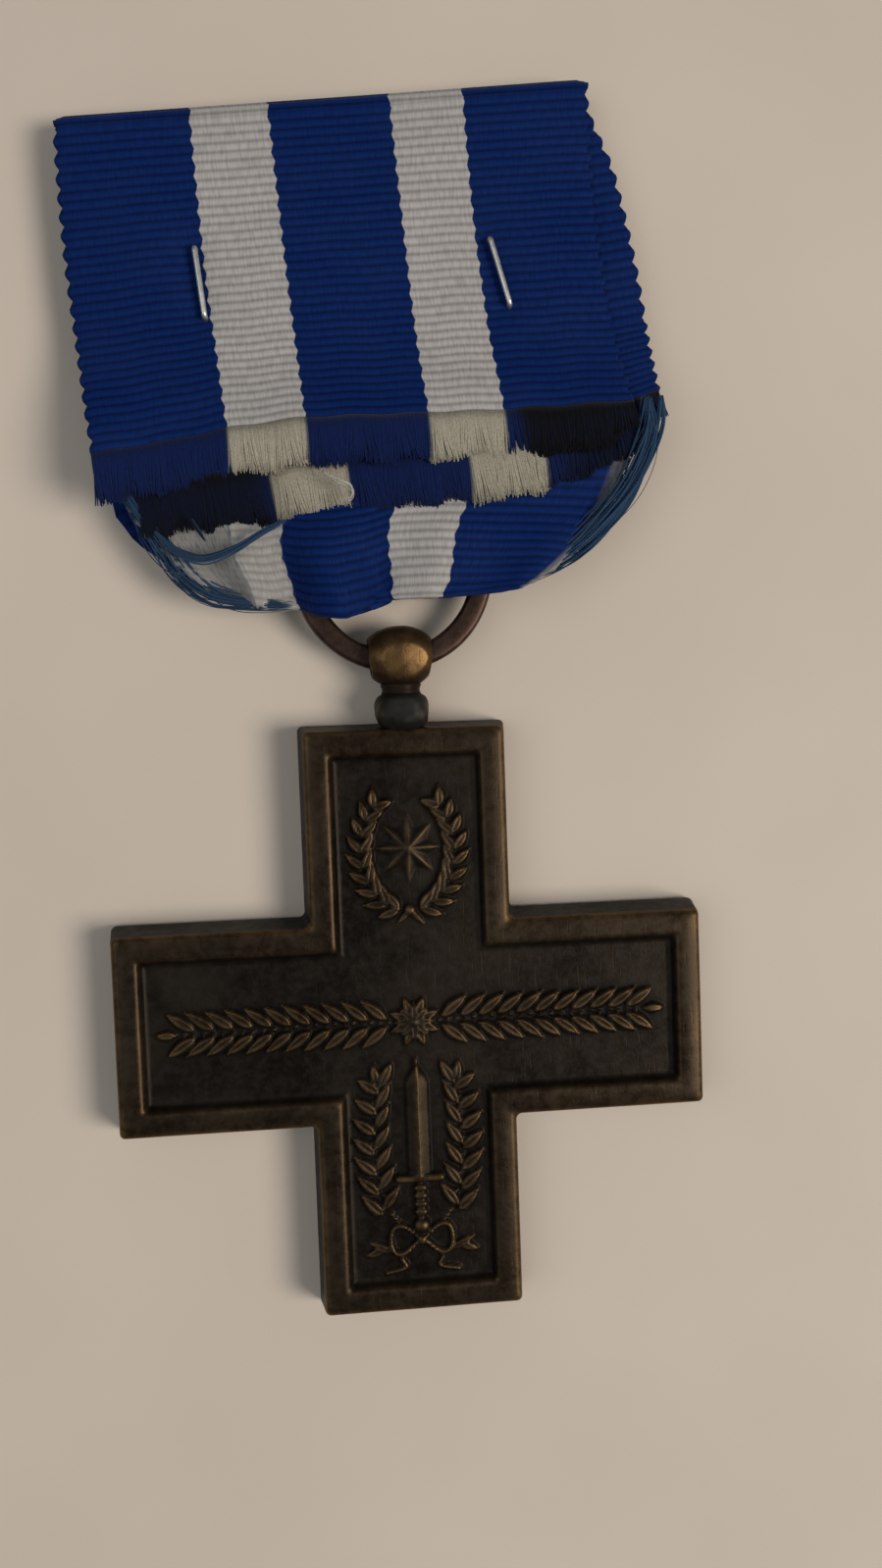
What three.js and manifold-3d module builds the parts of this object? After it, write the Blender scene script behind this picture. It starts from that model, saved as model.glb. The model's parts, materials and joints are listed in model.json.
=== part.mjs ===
// A bronze cross medal on its ribbon, lying face up.
// Units are millimetres. +X is to the right, +Y runs from the cross to the top of the ribbon, +Z is up.
// While it is built, the centre of the cross is at x = 0, y = 0 and its reverse lies in the plane z = 0.
// The finished group is moved so that its origin is the bottom centre of its box.
import * as THREE from 'three';
import { mergeVertices } from 'three/addons/utils/BufferGeometryUtils.js';
import Module from 'manifold-3d';

const wasm = await Module();
wasm.setup();

// ---- Cross ----
const CROSS_HALF_SPAN = 19;      // half of 38 mm, at the reverse
const ARM_HALF_WIDTH = 6.7;
const CROSS_THICKNESS = 3.3;
const SIDE_DRAFT = 0.4;          // the sides lean in by this much towards the obverse
const SIDE_LAND = 0.3;           // upright part of the side, next to the reverse
const CORNER_RADIUS = 0.7;
const RIM_WIDTH = 1.65;
const FIELD_DEPTH = 0.6;
const FIELD_SLOPE = 0.35;
const RELIEF_HEIGHT = 0.4;

// ---- Suspension: collar, drilled ball and ring ----
const HANGER_Z = 2.1;            // height of the ball's and the ring's middle
const BALL_RADIUS = 2.1;
const BALL_WIDEN = 1.2;          // the ball is an oval, longer along its bore
const BALL_Y = 23.1;
const BORE_RADIUS = 1.2;
const NECK_RADIUS = 1.3;
const COLLAR_RADIUS = 1.75;
const COLLAR_LENGTH = 1.75;
const SEAM = 0.1;                // gap left at a soldered seam
const RING_RADIUS = 5.55;
const RING_WIRE_RADIUS = 0.7;
const RING_X = -0.2;
const RING_Y = BALL_Y + RING_RADIUS - 0.2;

// ---- Ribbon: one strip, folded at the top, gathered through the ring ----
const RIBBON_WIDTH = 33;
const RIBBON_THICKNESS = 0.42;
const LAYER_STEP = 0.6;          // from one layer to the next where the staples press them
const OUTER_LEAF_Z = 0.62;
const INNER_LEAF_Z = OUTER_LEAF_Z + LAYER_STEP;
const INNER_FLAP_Z = INNER_LEAF_Z + LAYER_STEP;
const OUTER_FLAP_Z = INNER_FLAP_Z + LAYER_STEP;
const TOP_X = -3.1;              // middle of the top fold
const TOP_Y = 57.9;
const OUTER_LEAN = 4.5;          // degrees that a stretch of the strip leans to the right, going down
const INNER_LEAF_LEAN = 2.5;
const INNER_FLAP_LEAN = 10;
const INNER_TOP = 2.6;           // the inner fold sits this far below the outer one
const LIFT = 2.15;               // how far the ring lifts the layers that lie on it
const LIFT_START = 13;           // distances below the top fold
const LIFT_END = 23;
const FOLD_GAP = 0.3;
const BEND_AT = 18;              // the cloth bends on a line this far below the top fold
const BEND_LEAN = 7;
const BEND_GAP = 2.6;
const OUTER_FLAP_LENGTH = 23;
const INNER_FLAP_LENGTH = 25.2;
const GATHER_START = 23.5;
const GATHER_Y = 27;             // lower edge of the gathered leaves
const THROAT_HALF_WIDTH = 3.5;   // the gathered strip inside the ring
const THROAT_BULGE = 0.3;
const COLUMNS = 6;               // facets across the strip

// ---- Staples ----
const STAPLE_WIRE_RADIUS = 0.19;
const STAPLE_CROWN = 4.2;
const STAPLE_CLINCH = 1.5;
const STAPLES = {                // middle of each crown, and degrees that it leans to the right, going down
  staple_left: { x: -11.35, y: 46.15, lean: 6 },
  staple_right: { x: 7.1, y: 46.75, lean: 15.4 },
};
const LEG_HOLE_RADIUS = 0.5;

const bronze = () => new THREE.MeshStandardMaterial({ color: 0x3a2f28, roughness: 0.45, metalness: 0.9 });
const wornBronze = () => new THREE.MeshStandardMaterial({ color: 0x6e5530, roughness: 0.35, metalness: 0.9 });
const solder = () => new THREE.MeshStandardMaterial({ color: 0x34312f, roughness: 0.5, metalness: 0.8 });
const darkWire = () => new THREE.MeshStandardMaterial({ color: 0x2d231c, roughness: 0.4, metalness: 0.9 });
const ribbonCloth = () => new THREE.MeshStandardMaterial({ color: 0x10204f, roughness: 0.85, metalness: 0 });
const stapleWire = () => new THREE.MeshStandardMaterial({ color: 0xa9a9a6, roughness: 0.3, metalness: 1 });

const degrees = THREE.MathUtils.degToRad;
const { clamp } = THREE.MathUtils;

function mesh(name, geometry, material) {
  const made = new THREE.Mesh(geometry, material);
  made.name = name;
  return made;
}

// ---- Joining and cutting ----

function toSolid(geometry) {
  const bare = geometry.clone();
  bare.deleteAttribute('normal');
  bare.deleteAttribute('uv');
  const merged = mergeVertices(bare, 1e-4);
  const vertProperties = new Float32Array(merged.attributes.position.array);
  const triVerts = new Uint32Array(merged.index.array);
  return new wasm.Manifold(new wasm.Mesh({ numProp: 3, vertProperties, triVerts }));
}

function toGeometry(solid) {
  const result = solid.getMesh();
  const geometry = new THREE.BufferGeometry();
  geometry.setAttribute('position', new THREE.BufferAttribute(result.vertProperties, 3));
  geometry.setIndex(new THREE.BufferAttribute(result.triVerts, 1));
  geometry.computeVertexNormals();
  return geometry;
}

// ---- Outlines ----

// A closed outline through right-angled corners, each rounded by its own radius.
function roundedOutline(corners) {
  const shape = new THREE.Shape();
  corners.forEach(({ point, radius }, index) => {
    const before = corners[(index + corners.length - 1) % corners.length].point;
    const after = corners[(index + 1) % corners.length].point;
    const start = point.clone().add(before.clone().sub(point).setLength(radius));
    const end = point.clone().add(after.clone().sub(point).setLength(radius));
    if (index === 0) shape.moveTo(start.x, start.y);
    else shape.lineTo(start.x, start.y);
    shape.quadraticCurveTo(point.x, point.y, end.x, end.y);
  });
  shape.closePath();
  return shape;
}

function crossOutline(halfSpan, halfArm, radius) {
  const corners = [];
  for (let arm = 0; arm < 4; arm += 1) {
    const turn = (arm * Math.PI) / 2;
    const origin = new THREE.Vector2();
    const corner = (x, y) => new THREE.Vector2(x, y).rotateAround(origin, turn);
    corners.push({ point: corner(halfSpan, -halfArm), radius });
    corners.push({ point: corner(halfSpan, halfArm), radius });
    corners.push({ point: corner(halfArm, halfArm), radius: radius / 2 });
  }
  return roundedOutline(corners);
}

// A slab from z = 0 whose outline shrinks by `inset` over the last `slope` of its height.
function taperedSlab(shape, height, slope, inset) {
  const geometry = new THREE.ExtrudeGeometry(shape, {
    depth: 2 * (height - slope),
    bevelEnabled: true,
    bevelThickness: slope,
    bevelSize: inset,
    bevelOffset: -inset,
    bevelSegments: 1,
    curveSegments: 3,
  });
  geometry.translate(0, 0, -(height - slope));
  const cutter = new THREE.BoxGeometry(100, 100, 20);
  cutter.translate(0, 0, -10);
  return toSolid(geometry).subtract(toSolid(cutter));
}

// ---- Relief on the obverse ----

function raised(shape, x = 0, y = 0) {
  const geometry = new THREE.ExtrudeGeometry(shape, {
    depth: RELIEF_HEIGHT + 0.1,
    bevelEnabled: false,
    curveSegments: 5,
  });
  geometry.translate(x, y, CROSS_THICKNESS - FIELD_DEPTH - 0.1);
  return toSolid(geometry);
}

function rectangle(width, height) {
  const corners = [[-1, -1], [1, -1], [1, 1], [-1, 1]];
  return new THREE.Shape(corners.map(([x, y]) => new THREE.Vector2((x * width) / 2, (y * height) / 2)));
}

function ellipse(halfWidth, halfHeight, turn = 0) {
  const shape = new THREE.Shape();
  shape.absellipse(0, 0, halfWidth, halfHeight, 0, 2 * Math.PI, false, turn);
  return shape;
}

function starShape(points, outer, inner) {
  const outline = [];
  for (let index = 0; index < 2 * points; index += 1) {
    const angle = (index * Math.PI) / points + Math.PI / 2;
    const radius = index % 2 === 0 ? outer : inner;
    outline.push(new THREE.Vector2(radius * Math.cos(angle), radius * Math.sin(angle)));
  }
  return new THREE.Shape(outline);
}

// An eight-pointed star in the upper arm.
function starRelief() {
  return [raised(starShape(8, 3.6, 1.7), 0, 10.8)];
}

// Bead-and-reel ornament along the horizontal arms.
function bandRelief() {
  const pieces = [];
  const pitch = 4.1;
  for (let step = -4; step <= 4; step += 1) {
    if (Math.abs(step * pitch) > 15) continue;
    pieces.push(raised(ellipse(0.95, 1.35), step * pitch, 0));
  }
  for (let step = -3.5; step <= 3.5; step += 1) {
    for (const side of [-0.42, 0.42]) pieces.push(raised(rectangle(0.5, 2.7), step * pitch + side, 0));
  }
  return pieces;
}

// An upright sword between two sprays of leaves in the lower arm.
function swordRelief() {
  const blade = new THREE.Shape([
    new THREE.Vector2(-0.65, -12.6),
    new THREE.Vector2(0.65, -12.6),
    new THREE.Vector2(0.5, -4.2),
    new THREE.Vector2(0, -2.6),
    new THREE.Vector2(-0.5, -4.2),
  ]);
  const pieces = [
    raised(blade),
    raised(rectangle(3.6, 0.7), 0, -12.8),
    raised(rectangle(0.8, 2.4), 0, -14.1),
    raised(ellipse(0.65, 0.65), 0, -15.5),
  ];
  for (const side of [-1, 1]) {
    for (let leaf = 0; leaf < 5; leaf += 1) {
      const turn = side * degrees(-24 - 4 * leaf);
      pieces.push(raised(ellipse(0.5, 1.15, turn), side * (2.1 + 0.18 * leaf), -11.2 + 1.75 * leaf));
    }
  }
  return pieces;
}

function planchet() {
  const outline = crossOutline(CROSS_HALF_SPAN, ARM_HALF_WIDTH, CORNER_RADIUS);
  const inset = SIDE_DRAFT + RIM_WIDTH;
  const field = crossOutline(CROSS_HALF_SPAN - inset, ARM_HALF_WIDTH - inset, CORNER_RADIUS);
  const pocket = taperedSlab(field, FIELD_DEPTH + 1, FIELD_DEPTH, FIELD_SLOPE);
  const obversePocket = pocket.rotate([180, 0, 0]).translate([0, 0, CROSS_THICKNESS + 1]);
  const reversePocket = pocket.translate([0, 0, FIELD_DEPTH * 0.75 - FIELD_DEPTH - 1]);
  let body = taperedSlab(outline, CROSS_THICKNESS, CROSS_THICKNESS - SIDE_LAND, SIDE_DRAFT);
  body = body.subtract(obversePocket).subtract(reversePocket);
  for (const piece of [...starRelief(), ...bandRelief(), ...swordRelief()]) body = body.add(piece);
  return mesh('cross_planchet', toGeometry(body), bronze());
}

// ---- Suspension ----

// A turned piece whose axis runs along Y at the hanger's height.
function turned(points, y) {
  const geometry = new THREE.LatheGeometry(points, 20);
  geometry.translate(0, y, HANGER_Z);
  return toSolid(geometry);
}

function collar() {
  const shoulder = 0.5;
  const profile = [new THREE.Vector2(0, 0), new THREE.Vector2(COLLAR_RADIUS, 0)];
  for (let step = 0; step <= 3; step += 1) {
    const angle = (step / 3) * (Math.PI / 2);
    const radius = COLLAR_RADIUS - shoulder * (1 - Math.cos(angle));
    profile.push(new THREE.Vector2(radius, COLLAR_LENGTH - shoulder * (1 - Math.sin(angle))));
  }
  profile.push(new THREE.Vector2(0, COLLAR_LENGTH));
  return mesh('suspension_collar', toGeometry(turned(profile, CROSS_HALF_SPAN + SEAM)), solder());
}

function ball() {
  const neckEnd = CROSS_HALF_SPAN + 2 * SEAM + COLLAR_LENGTH - BALL_Y;
  const profile = [new THREE.Vector2(0, neckEnd), new THREE.Vector2(NECK_RADIUS, neckEnd)];
  const first = Math.asin(NECK_RADIUS / BALL_RADIUS);
  for (let step = 0; step <= 12; step += 1) {
    const angle = first + (step / 12) * (Math.PI - first);
    profile.push(new THREE.Vector2(BALL_RADIUS * Math.sin(angle), -BALL_RADIUS * Math.cos(angle)));
  }
  profile[profile.length - 1].x = 0;
  const bore = new THREE.CylinderGeometry(BORE_RADIUS, BORE_RADIUS, 4 * BALL_RADIUS, 20);
  bore.rotateZ(Math.PI / 2);
  bore.translate(0, BALL_Y, HANGER_Z);
  const drilled = turned(profile, BALL_Y).scale([BALL_WIDEN, 1, 1]).subtract(toSolid(bore));
  return mesh('suspension_ball', toGeometry(drilled), wornBronze());
}

function ring() {
  const geometry = new THREE.TorusGeometry(RING_RADIUS, RING_WIRE_RADIUS, 12, 48);
  geometry.translate(RING_X, RING_Y, HANGER_Z);
  return mesh('suspension_ring', geometry, darkWire());
}

// ---- Ribbon ----

// A strip of cloth as a closed solid. Each line holds the points of one line across the strip, left to right.
function strip(lines) {
  const rows = lines.length;
  const columns = lines[0].length;
  const at = (row, column) => lines[clamp(row, 0, rows - 1)][clamp(column, 0, columns - 1)];
  const positions = [];
  for (const side of [-1, 1]) {
    for (let row = 0; row < rows; row += 1) {
      for (let column = 0; column < columns; column += 1) {
        const rightward = at(row, column + 1).clone().sub(at(row, column - 1));
        const onward = at(row + 1, column).clone().sub(at(row - 1, column));
        const offset = rightward.cross(onward).setLength((side * RIBBON_THICKNESS) / 2);
        const point = at(row, column).clone().add(offset);
        positions.push(point.x, point.y, point.z);
      }
    }
  }
  const vertex = (side, row, column) => (side * rows + row) * columns + column;
  const faces = [];
  const quad = (a, b, c, d) => faces.push(a, b, c, a, c, d);
  for (let row = 0; row < rows - 1; row += 1) {
    for (let column = 0; column < columns - 1; column += 1) {
      const corners = [[row, column], [row + 1, column], [row + 1, column + 1], [row, column + 1]];
      quad(...corners.map(([r, c]) => vertex(0, r, c)));
      quad(...corners.reverse().map(([r, c]) => vertex(1, r, c)));
    }
    quad(vertex(0, row, 0), vertex(1, row, 0), vertex(1, row + 1, 0), vertex(0, row + 1, 0));
    const end = columns - 1;
    quad(vertex(0, row + 1, end), vertex(1, row + 1, end), vertex(1, row, end), vertex(0, row, end));
  }
  for (let column = 0; column < columns - 1; column += 1) {
    quad(vertex(0, 0, column + 1), vertex(1, 0, column + 1), vertex(1, 0, column), vertex(0, 0, column));
    const end = rows - 1;
    quad(vertex(0, end, column), vertex(1, end, column), vertex(1, end, column + 1), vertex(0, end, column + 1));
  }
  const geometry = new THREE.BufferGeometry();
  geometry.setAttribute('position', new THREE.Float32BufferAttribute(positions, 3));
  geometry.setIndex(faces);
  return geometry;
}

const liftAt = (y) => LIFT * THREE.MathUtils.smoothstep(TOP_Y - y, LIFT_START, LIFT_END);

// A point `distance` below the top fold and `sideways` from the middle of a turn that leans by `lean` degrees.
function onTurn(distance, sideways, lean, z) {
  const side = new THREE.Vector3(Math.cos(degrees(lean)), Math.sin(degrees(lean)), 0);
  const down = new THREE.Vector3(side.y, -side.x, 0);
  return new THREE.Vector3(TOP_X, TOP_Y, z).addScaledVector(down, distance).addScaledVector(side, sideways);
}

// One line across the strip. `distance` says how far down each of its points lies.
function across(distance, lean, z) {
  const line = [];
  for (let column = 0; column <= COLUMNS; column += 1) {
    const sideways = RIBBON_WIDTH * (column / COLUMNS - 0.5);
    line.push(onTurn(distance(sideways), sideways, lean, z));
  }
  return line;
}

const level = (distance) => () => distance;

// The edge that a stretch has beside the bend: `beyond` it, and parallel to it.
function besideBend(beyond, lean) {
  const slant = degrees(lean - BEND_LEAN);
  return (sideways) => (BEND_AT + beyond + sideways * Math.sin(slant)) / Math.cos(slant);
}

function layer(from, to, lean, z, lifted) {
  const lines = [];
  const steps = 8;
  for (let step = 0; step <= steps; step += 1) {
    const t = step / steps;
    const line = across((sideways) => (1 - t) * from(sideways) + t * to(sideways), lean, z);
    if (lifted) line.forEach((point) => (point.z += liftAt(point.y)));
    lines.push(line);
  }
  return lines;
}

// From just below a fold to the bend.
function headLayer(start, lean, z, lifted) {
  return layer(level(start), besideBend(-BEND_GAP / 2, lean), lean, z, lifted);
}

// From the bend on down.
function tailLayer(end, lean, z, lifted) {
  return layer(besideBend(BEND_GAP / 2, lean), level(end), lean, z, lifted);
}

function fold(top, lean, lowZ, highZ) {
  const lines = [];
  const radius = (highZ - lowZ) / 2;
  const steps = 8;
  for (let step = 0; step <= steps; step += 1) {
    const angle = (step / steps) * Math.PI;
    const distance = level(top + radius * (1 - Math.sin(angle)));
    lines.push(across(distance, lean, lowZ + radius * (1 - Math.cos(angle))));
  }
  return lines.reverse();
}

// Below the bend a leaf narrows from the full strip down to the ring.
function gathered(lean, z, lifted) {
  const lines = tailLayer(GATHER_START, lean, z, lifted);
  const wide = lines[lines.length - 1];
  const steps = 8;
  for (let step = 1; step <= steps; step += 1) {
    const t = step / steps;
    const narrowing = 1 - Math.sqrt(1 - t * t);
    lines.push(wide.map((point, column) => {
      const throatX = RING_X + THROAT_HALF_WIDTH * ((2 * column) / COLUMNS - 1);
      const made = new THREE.Vector3(throatX, GATHER_Y, point.z).sub(point);
      return new THREE.Vector3(made.x * narrowing, made.y * Math.sin((t * Math.PI) / 2), 0).add(point);
    }));
  }
  return lines;
}

function throat() {
  const lines = [];
  const lowZ = OUTER_LEAF_Z;
  const highZ = INNER_LEAF_Z + LIFT;
  const steps = 8;
  for (let step = 0; step <= steps; step += 1) {
    const angle = (step / steps) * Math.PI;
    const y = GATHER_Y - RIBBON_THICKNESS - THROAT_BULGE * Math.sin(angle);
    const z = (lowZ + highZ) / 2 + ((highZ - lowZ) / 2) * Math.cos(angle);
    lines.push([-1, 1].map((side) => new THREE.Vector3(RING_X + side * THROAT_HALF_WIDTH, y, z)));
  }
  return lines;
}

// Where the two legs of a staple go through the layers.
function staplePoints({ x, y, lean }) {
  const toward = new THREE.Vector3(Math.sin(degrees(lean)), -Math.cos(degrees(lean)), 0);
  return [-1, 1].map((end) => toward.clone().multiplyScalar((end * STAPLE_CROWN) / 2).add(new THREE.Vector3(x, y, 0)));
}

function pierced(geometry) {
  let solid = toSolid(geometry);
  for (const place of Object.values(STAPLES)) {
    for (const point of staplePoints(place)) {
      const hole = new THREE.CylinderGeometry(LEG_HOLE_RADIUS, LEG_HOLE_RADIUS, 8, 10);
      hole.rotateX(Math.PI / 2);
      hole.translate(point.x, point.y, 2);
      solid = solid.subtract(toSolid(hole));
    }
  }
  return toGeometry(solid);
}

function ribbon() {
  const innerFoldLean = (INNER_LEAF_LEAN + INNER_FLAP_LEAN) / 2;
  const innerSkew = (RIBBON_WIDTH / 2) * Math.sin(degrees(INNER_FLAP_LEAN - innerFoldLean));
  const outerStart = (OUTER_FLAP_Z - OUTER_LEAF_Z) / 2 + FOLD_GAP;
  const innerStart = INNER_TOP + LAYER_STEP / 2 + FOLD_GAP + innerSkew;
  const cloth = (name, stations) => mesh(name, strip(stations), ribbonCloth());
  const stapled = (name, stations) => mesh(name, pierced(strip(stations)), ribbonCloth());
  return [
    stapled('ribbon_leaf_outer', headLayer(outerStart, OUTER_LEAN, OUTER_LEAF_Z, false)),
    cloth('ribbon_fold_outer', fold(0, OUTER_LEAN, OUTER_LEAF_Z, OUTER_FLAP_Z)),
    stapled('ribbon_flap_outer', headLayer(outerStart, OUTER_LEAN, OUTER_FLAP_Z, true)),
    stapled('ribbon_leaf_inner', headLayer(innerStart, INNER_LEAF_LEAN, INNER_LEAF_Z, true)),
    cloth('ribbon_fold_inner', fold(INNER_TOP, innerFoldLean, INNER_LEAF_Z, INNER_FLAP_Z)),
    stapled('ribbon_flap_inner', headLayer(innerStart, INNER_FLAP_LEAN, INNER_FLAP_Z, true)),
    cloth('ribbon_flap_outer_end', tailLayer(OUTER_FLAP_LENGTH, OUTER_LEAN, OUTER_FLAP_Z, true)),
    cloth('ribbon_flap_inner_end', tailLayer(INNER_FLAP_LENGTH, INNER_FLAP_LEAN, INNER_FLAP_Z, true)),
    cloth('ribbon_gather_front', gathered(INNER_LEAF_LEAN, INNER_LEAF_Z, true)),
    cloth('ribbon_gather_back', gathered(OUTER_LEAN, OUTER_LEAF_Z, false)),
    cloth('ribbon_throat', throat()),
  ];
}

// ---- Staples ----

function staple(name, place) {
  const [upper, lower] = staplePoints(place);
  const inward = lower.clone().sub(upper).setLength(STAPLE_CLINCH);
  const crownZ = OUTER_FLAP_Z + RIBBON_THICKNESS / 2 + STAPLE_WIRE_RADIUS + 0.06;
  const clinchZ = STAPLE_WIRE_RADIUS + 0.01;
  const at = (point, z) => new THREE.Vector3(point.x, point.y, z);
  const corners = [
    at(upper.clone().add(inward), clinchZ),
    at(upper, clinchZ),
    at(upper, crownZ),
    at(lower, crownZ),
    at(lower, clinchZ),
    at(lower.clone().sub(inward), clinchZ),
  ];
  const section = new THREE.Shape();
  section.absarc(0, 0, STAPLE_WIRE_RADIUS, 0, 2 * Math.PI);
  const path = new THREE.CurvePath();
  const bend = 0.35;
  let start = corners[0];
  for (let index = 1; index < corners.length - 1; index += 1) {
    const corner = corners[index];
    const before = corner.clone().add(corners[index - 1].clone().sub(corner).setLength(bend));
    const after = corner.clone().add(corners[index + 1].clone().sub(corner).setLength(bend));
    path.add(new THREE.LineCurve3(start, before));
    path.add(new THREE.QuadraticBezierCurve3(before, corner, after));
    start = after;
  }
  path.add(new THREE.LineCurve3(start, corners[corners.length - 1]));
  const geometry = new THREE.ExtrudeGeometry(section, { steps: 44, curveSegments: 4, extrudePath: path });
  return mesh(name, geometry, stapleWire());
}

// ---- The whole medal ----

const medal = new THREE.Group();
medal.add(planchet(), collar(), ball(), ring(), ...ribbon());
for (const [name, place] of Object.entries(STAPLES)) medal.add(staple(name, place));

const box = new THREE.Box3().setFromObject(medal);
const middle = box.getCenter(new THREE.Vector3());
medal.position.set(-middle.x, -middle.y, -box.min.z);

export default medal;
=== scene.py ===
"""A struck bronze cross medal on its stapled ribbon, lying face up.

Shapes are worked out in millimetres with the centre of the cross at x = 0, y = 0 and its reverse at z = 0,
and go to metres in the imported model's frame as each mesh is made.
"""
import json
from math import asin, atan2, cos, pi, radians, sin

import bpy
import numpy as np
from mathutils import Matrix, Vector


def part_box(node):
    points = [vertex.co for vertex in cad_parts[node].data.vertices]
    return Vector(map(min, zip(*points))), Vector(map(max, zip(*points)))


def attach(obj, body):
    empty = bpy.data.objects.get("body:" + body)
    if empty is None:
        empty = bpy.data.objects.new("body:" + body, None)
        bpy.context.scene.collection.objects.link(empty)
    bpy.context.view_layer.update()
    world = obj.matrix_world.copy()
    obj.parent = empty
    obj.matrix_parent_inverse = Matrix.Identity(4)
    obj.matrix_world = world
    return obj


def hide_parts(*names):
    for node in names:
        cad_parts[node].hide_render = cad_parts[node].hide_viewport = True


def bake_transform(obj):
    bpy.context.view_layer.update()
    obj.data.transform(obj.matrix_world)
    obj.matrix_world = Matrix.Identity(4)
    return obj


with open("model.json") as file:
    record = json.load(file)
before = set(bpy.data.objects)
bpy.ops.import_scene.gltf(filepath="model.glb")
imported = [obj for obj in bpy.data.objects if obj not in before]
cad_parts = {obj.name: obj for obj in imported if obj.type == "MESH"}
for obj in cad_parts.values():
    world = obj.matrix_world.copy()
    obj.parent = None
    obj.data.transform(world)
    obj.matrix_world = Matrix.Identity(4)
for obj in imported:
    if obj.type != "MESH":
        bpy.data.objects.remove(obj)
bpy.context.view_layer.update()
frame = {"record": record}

MM = 0.001
cross_low, cross_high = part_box("cross_planchet")
CENTRE = np.array([(cross_low[0] + cross_high[0]) / 2, (cross_low[1] + cross_high[1]) / 2, 0.0])

rng = np.random.default_rng(7)


def placed(points):
    """Millimetres from the cross's centre to metres in the frame."""
    return np.asarray(points, float) * MM + CENTRE


def add_object(name, data):
    made = bpy.data.objects.new(name, data)
    bpy.context.scene.collection.objects.link(made)
    return made


# ---------------- camera

CAMERA_EYE = (-4.875, 19.207, 79.746)
CAMERA_FORWARD = Vector((0.0923, -0.0539, -0.9943)).normalized()
CAMERA_UP = Vector((0.0409, 0.9979, -0.0503))
CAMERA_LENS = 28.14


def add_camera():
    data = bpy.data.cameras.new("camera")
    data.sensor_width = 36
    data.lens = CAMERA_LENS
    data.clip_start = 0.001
    data.clip_end = 20
    camera = add_object("camera", data)
    right = CAMERA_FORWARD.cross(CAMERA_UP).normalized()
    up = right.cross(CAMERA_FORWARD)
    turn = Matrix((right, up, -CAMERA_FORWARD)).transposed().to_4x4()
    camera.matrix_world = Matrix.Translation(placed(CAMERA_EYE)) @ turn
    bpy.context.scene.camera = camera


# ---------------- small mathematics


def smooth(low, high, x):
    t = np.clip((x - low) / (high - low), 0.0, 1.0)
    return t * t * (3 - 2 * t)


def mix(a, b, t):
    return a + (b - a) * t


def bell(x, width):
    return np.exp(-((x / width) ** 2))


def ripple(x, y, size, seed):
    """An even, random-looking swell from -1 to 1 whose bumps are about `size` across."""
    a = np.sin(2.1 * x / size + seed + 1.3 * np.sin(1.2 * y / size + seed))
    b = np.sin(1.9 * y / size - seed + 1.1 * np.sin(1.6 * x / size + 2 * seed + 1.9))
    return a * b


# ---------------- meshes


def add_vectors(mesh, label, vectors):
    data = mesh.attributes.new(label, "FLOAT_VECTOR", "POINT").data
    data.foreach_set("vector", np.asarray(vectors, np.float32).ravel())


def make_object(name, points, faces, material, **attributes):
    """One smooth-shaded object. `faces` is a list of index arrays, each with its own number of corners."""
    mesh = bpy.data.meshes.new(name)
    mesh.vertices.add(len(points))
    mesh.vertices.foreach_set("co", placed(points).astype(np.float32).ravel())
    sizes = np.concatenate([np.full(len(group), group.shape[1]) for group in faces])
    corners = np.concatenate([group.ravel() for group in faces])
    mesh.loops.add(len(corners))
    mesh.loops.foreach_set("vertex_index", corners.astype(np.int32))
    mesh.polygons.add(len(sizes))
    starts = np.concatenate([[0], np.cumsum(sizes)[:-1]])
    mesh.polygons.foreach_set("loop_start", starts.astype(np.int32))
    mesh.polygons.foreach_set("use_smooth", np.ones(len(sizes), bool))
    mesh.update(calc_edges=True)
    for label, vectors in attributes.items():
        add_vectors(mesh, label, vectors)
    mesh.validate()
    mesh.materials.append(material)
    return add_object(name, mesh)


class Shell:
    """Collects vertices, faces and one vector attribute for a mesh made of several closed shells."""

    def __init__(self):
        self.points, self.faces, self.values, self.count = [], {}, [], 0

    def add(self, points, faces, value=(0, 0, 0)):
        for group in faces:
            self.faces.setdefault(group.shape[1], []).append(group + self.count)
        self.points.append(points)
        value = np.asarray(value, float)
        self.values.append(value if value.ndim == 2 else np.tile(value, (len(points), 1)))
        self.count += len(points)

    def make(self, name, material, label="weave"):
        faces = [np.concatenate(groups) for groups in self.faces.values()]
        values = {label: np.concatenate(self.values)}
        return make_object(name, np.concatenate(self.points), faces, material, **values)


def grid_quads(rows, columns, closed=False):
    """Quads over rows x columns vertices, which join up round the columns when closed."""
    row = np.arange(rows - 1)[:, None]
    column = np.arange(columns if closed else columns - 1)[None, :]
    following = (column + 1) % columns
    a, b = row * columns + column, row * columns + following
    return np.stack([a, b, b + columns, a + columns], axis=-1).reshape(-1, 4)


def circle(count):
    return np.linspace(0, 2 * pi, count, endpoint=False)


def between_rings(first, last, sides):
    """Quads from one ring of vertices to another, each given by the number of its first vertex."""
    ring = np.arange(sides)
    turned = (ring + 1) % sides
    return np.stack([first + ring, first + turned, last + turned, last + ring], axis=1)


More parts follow.
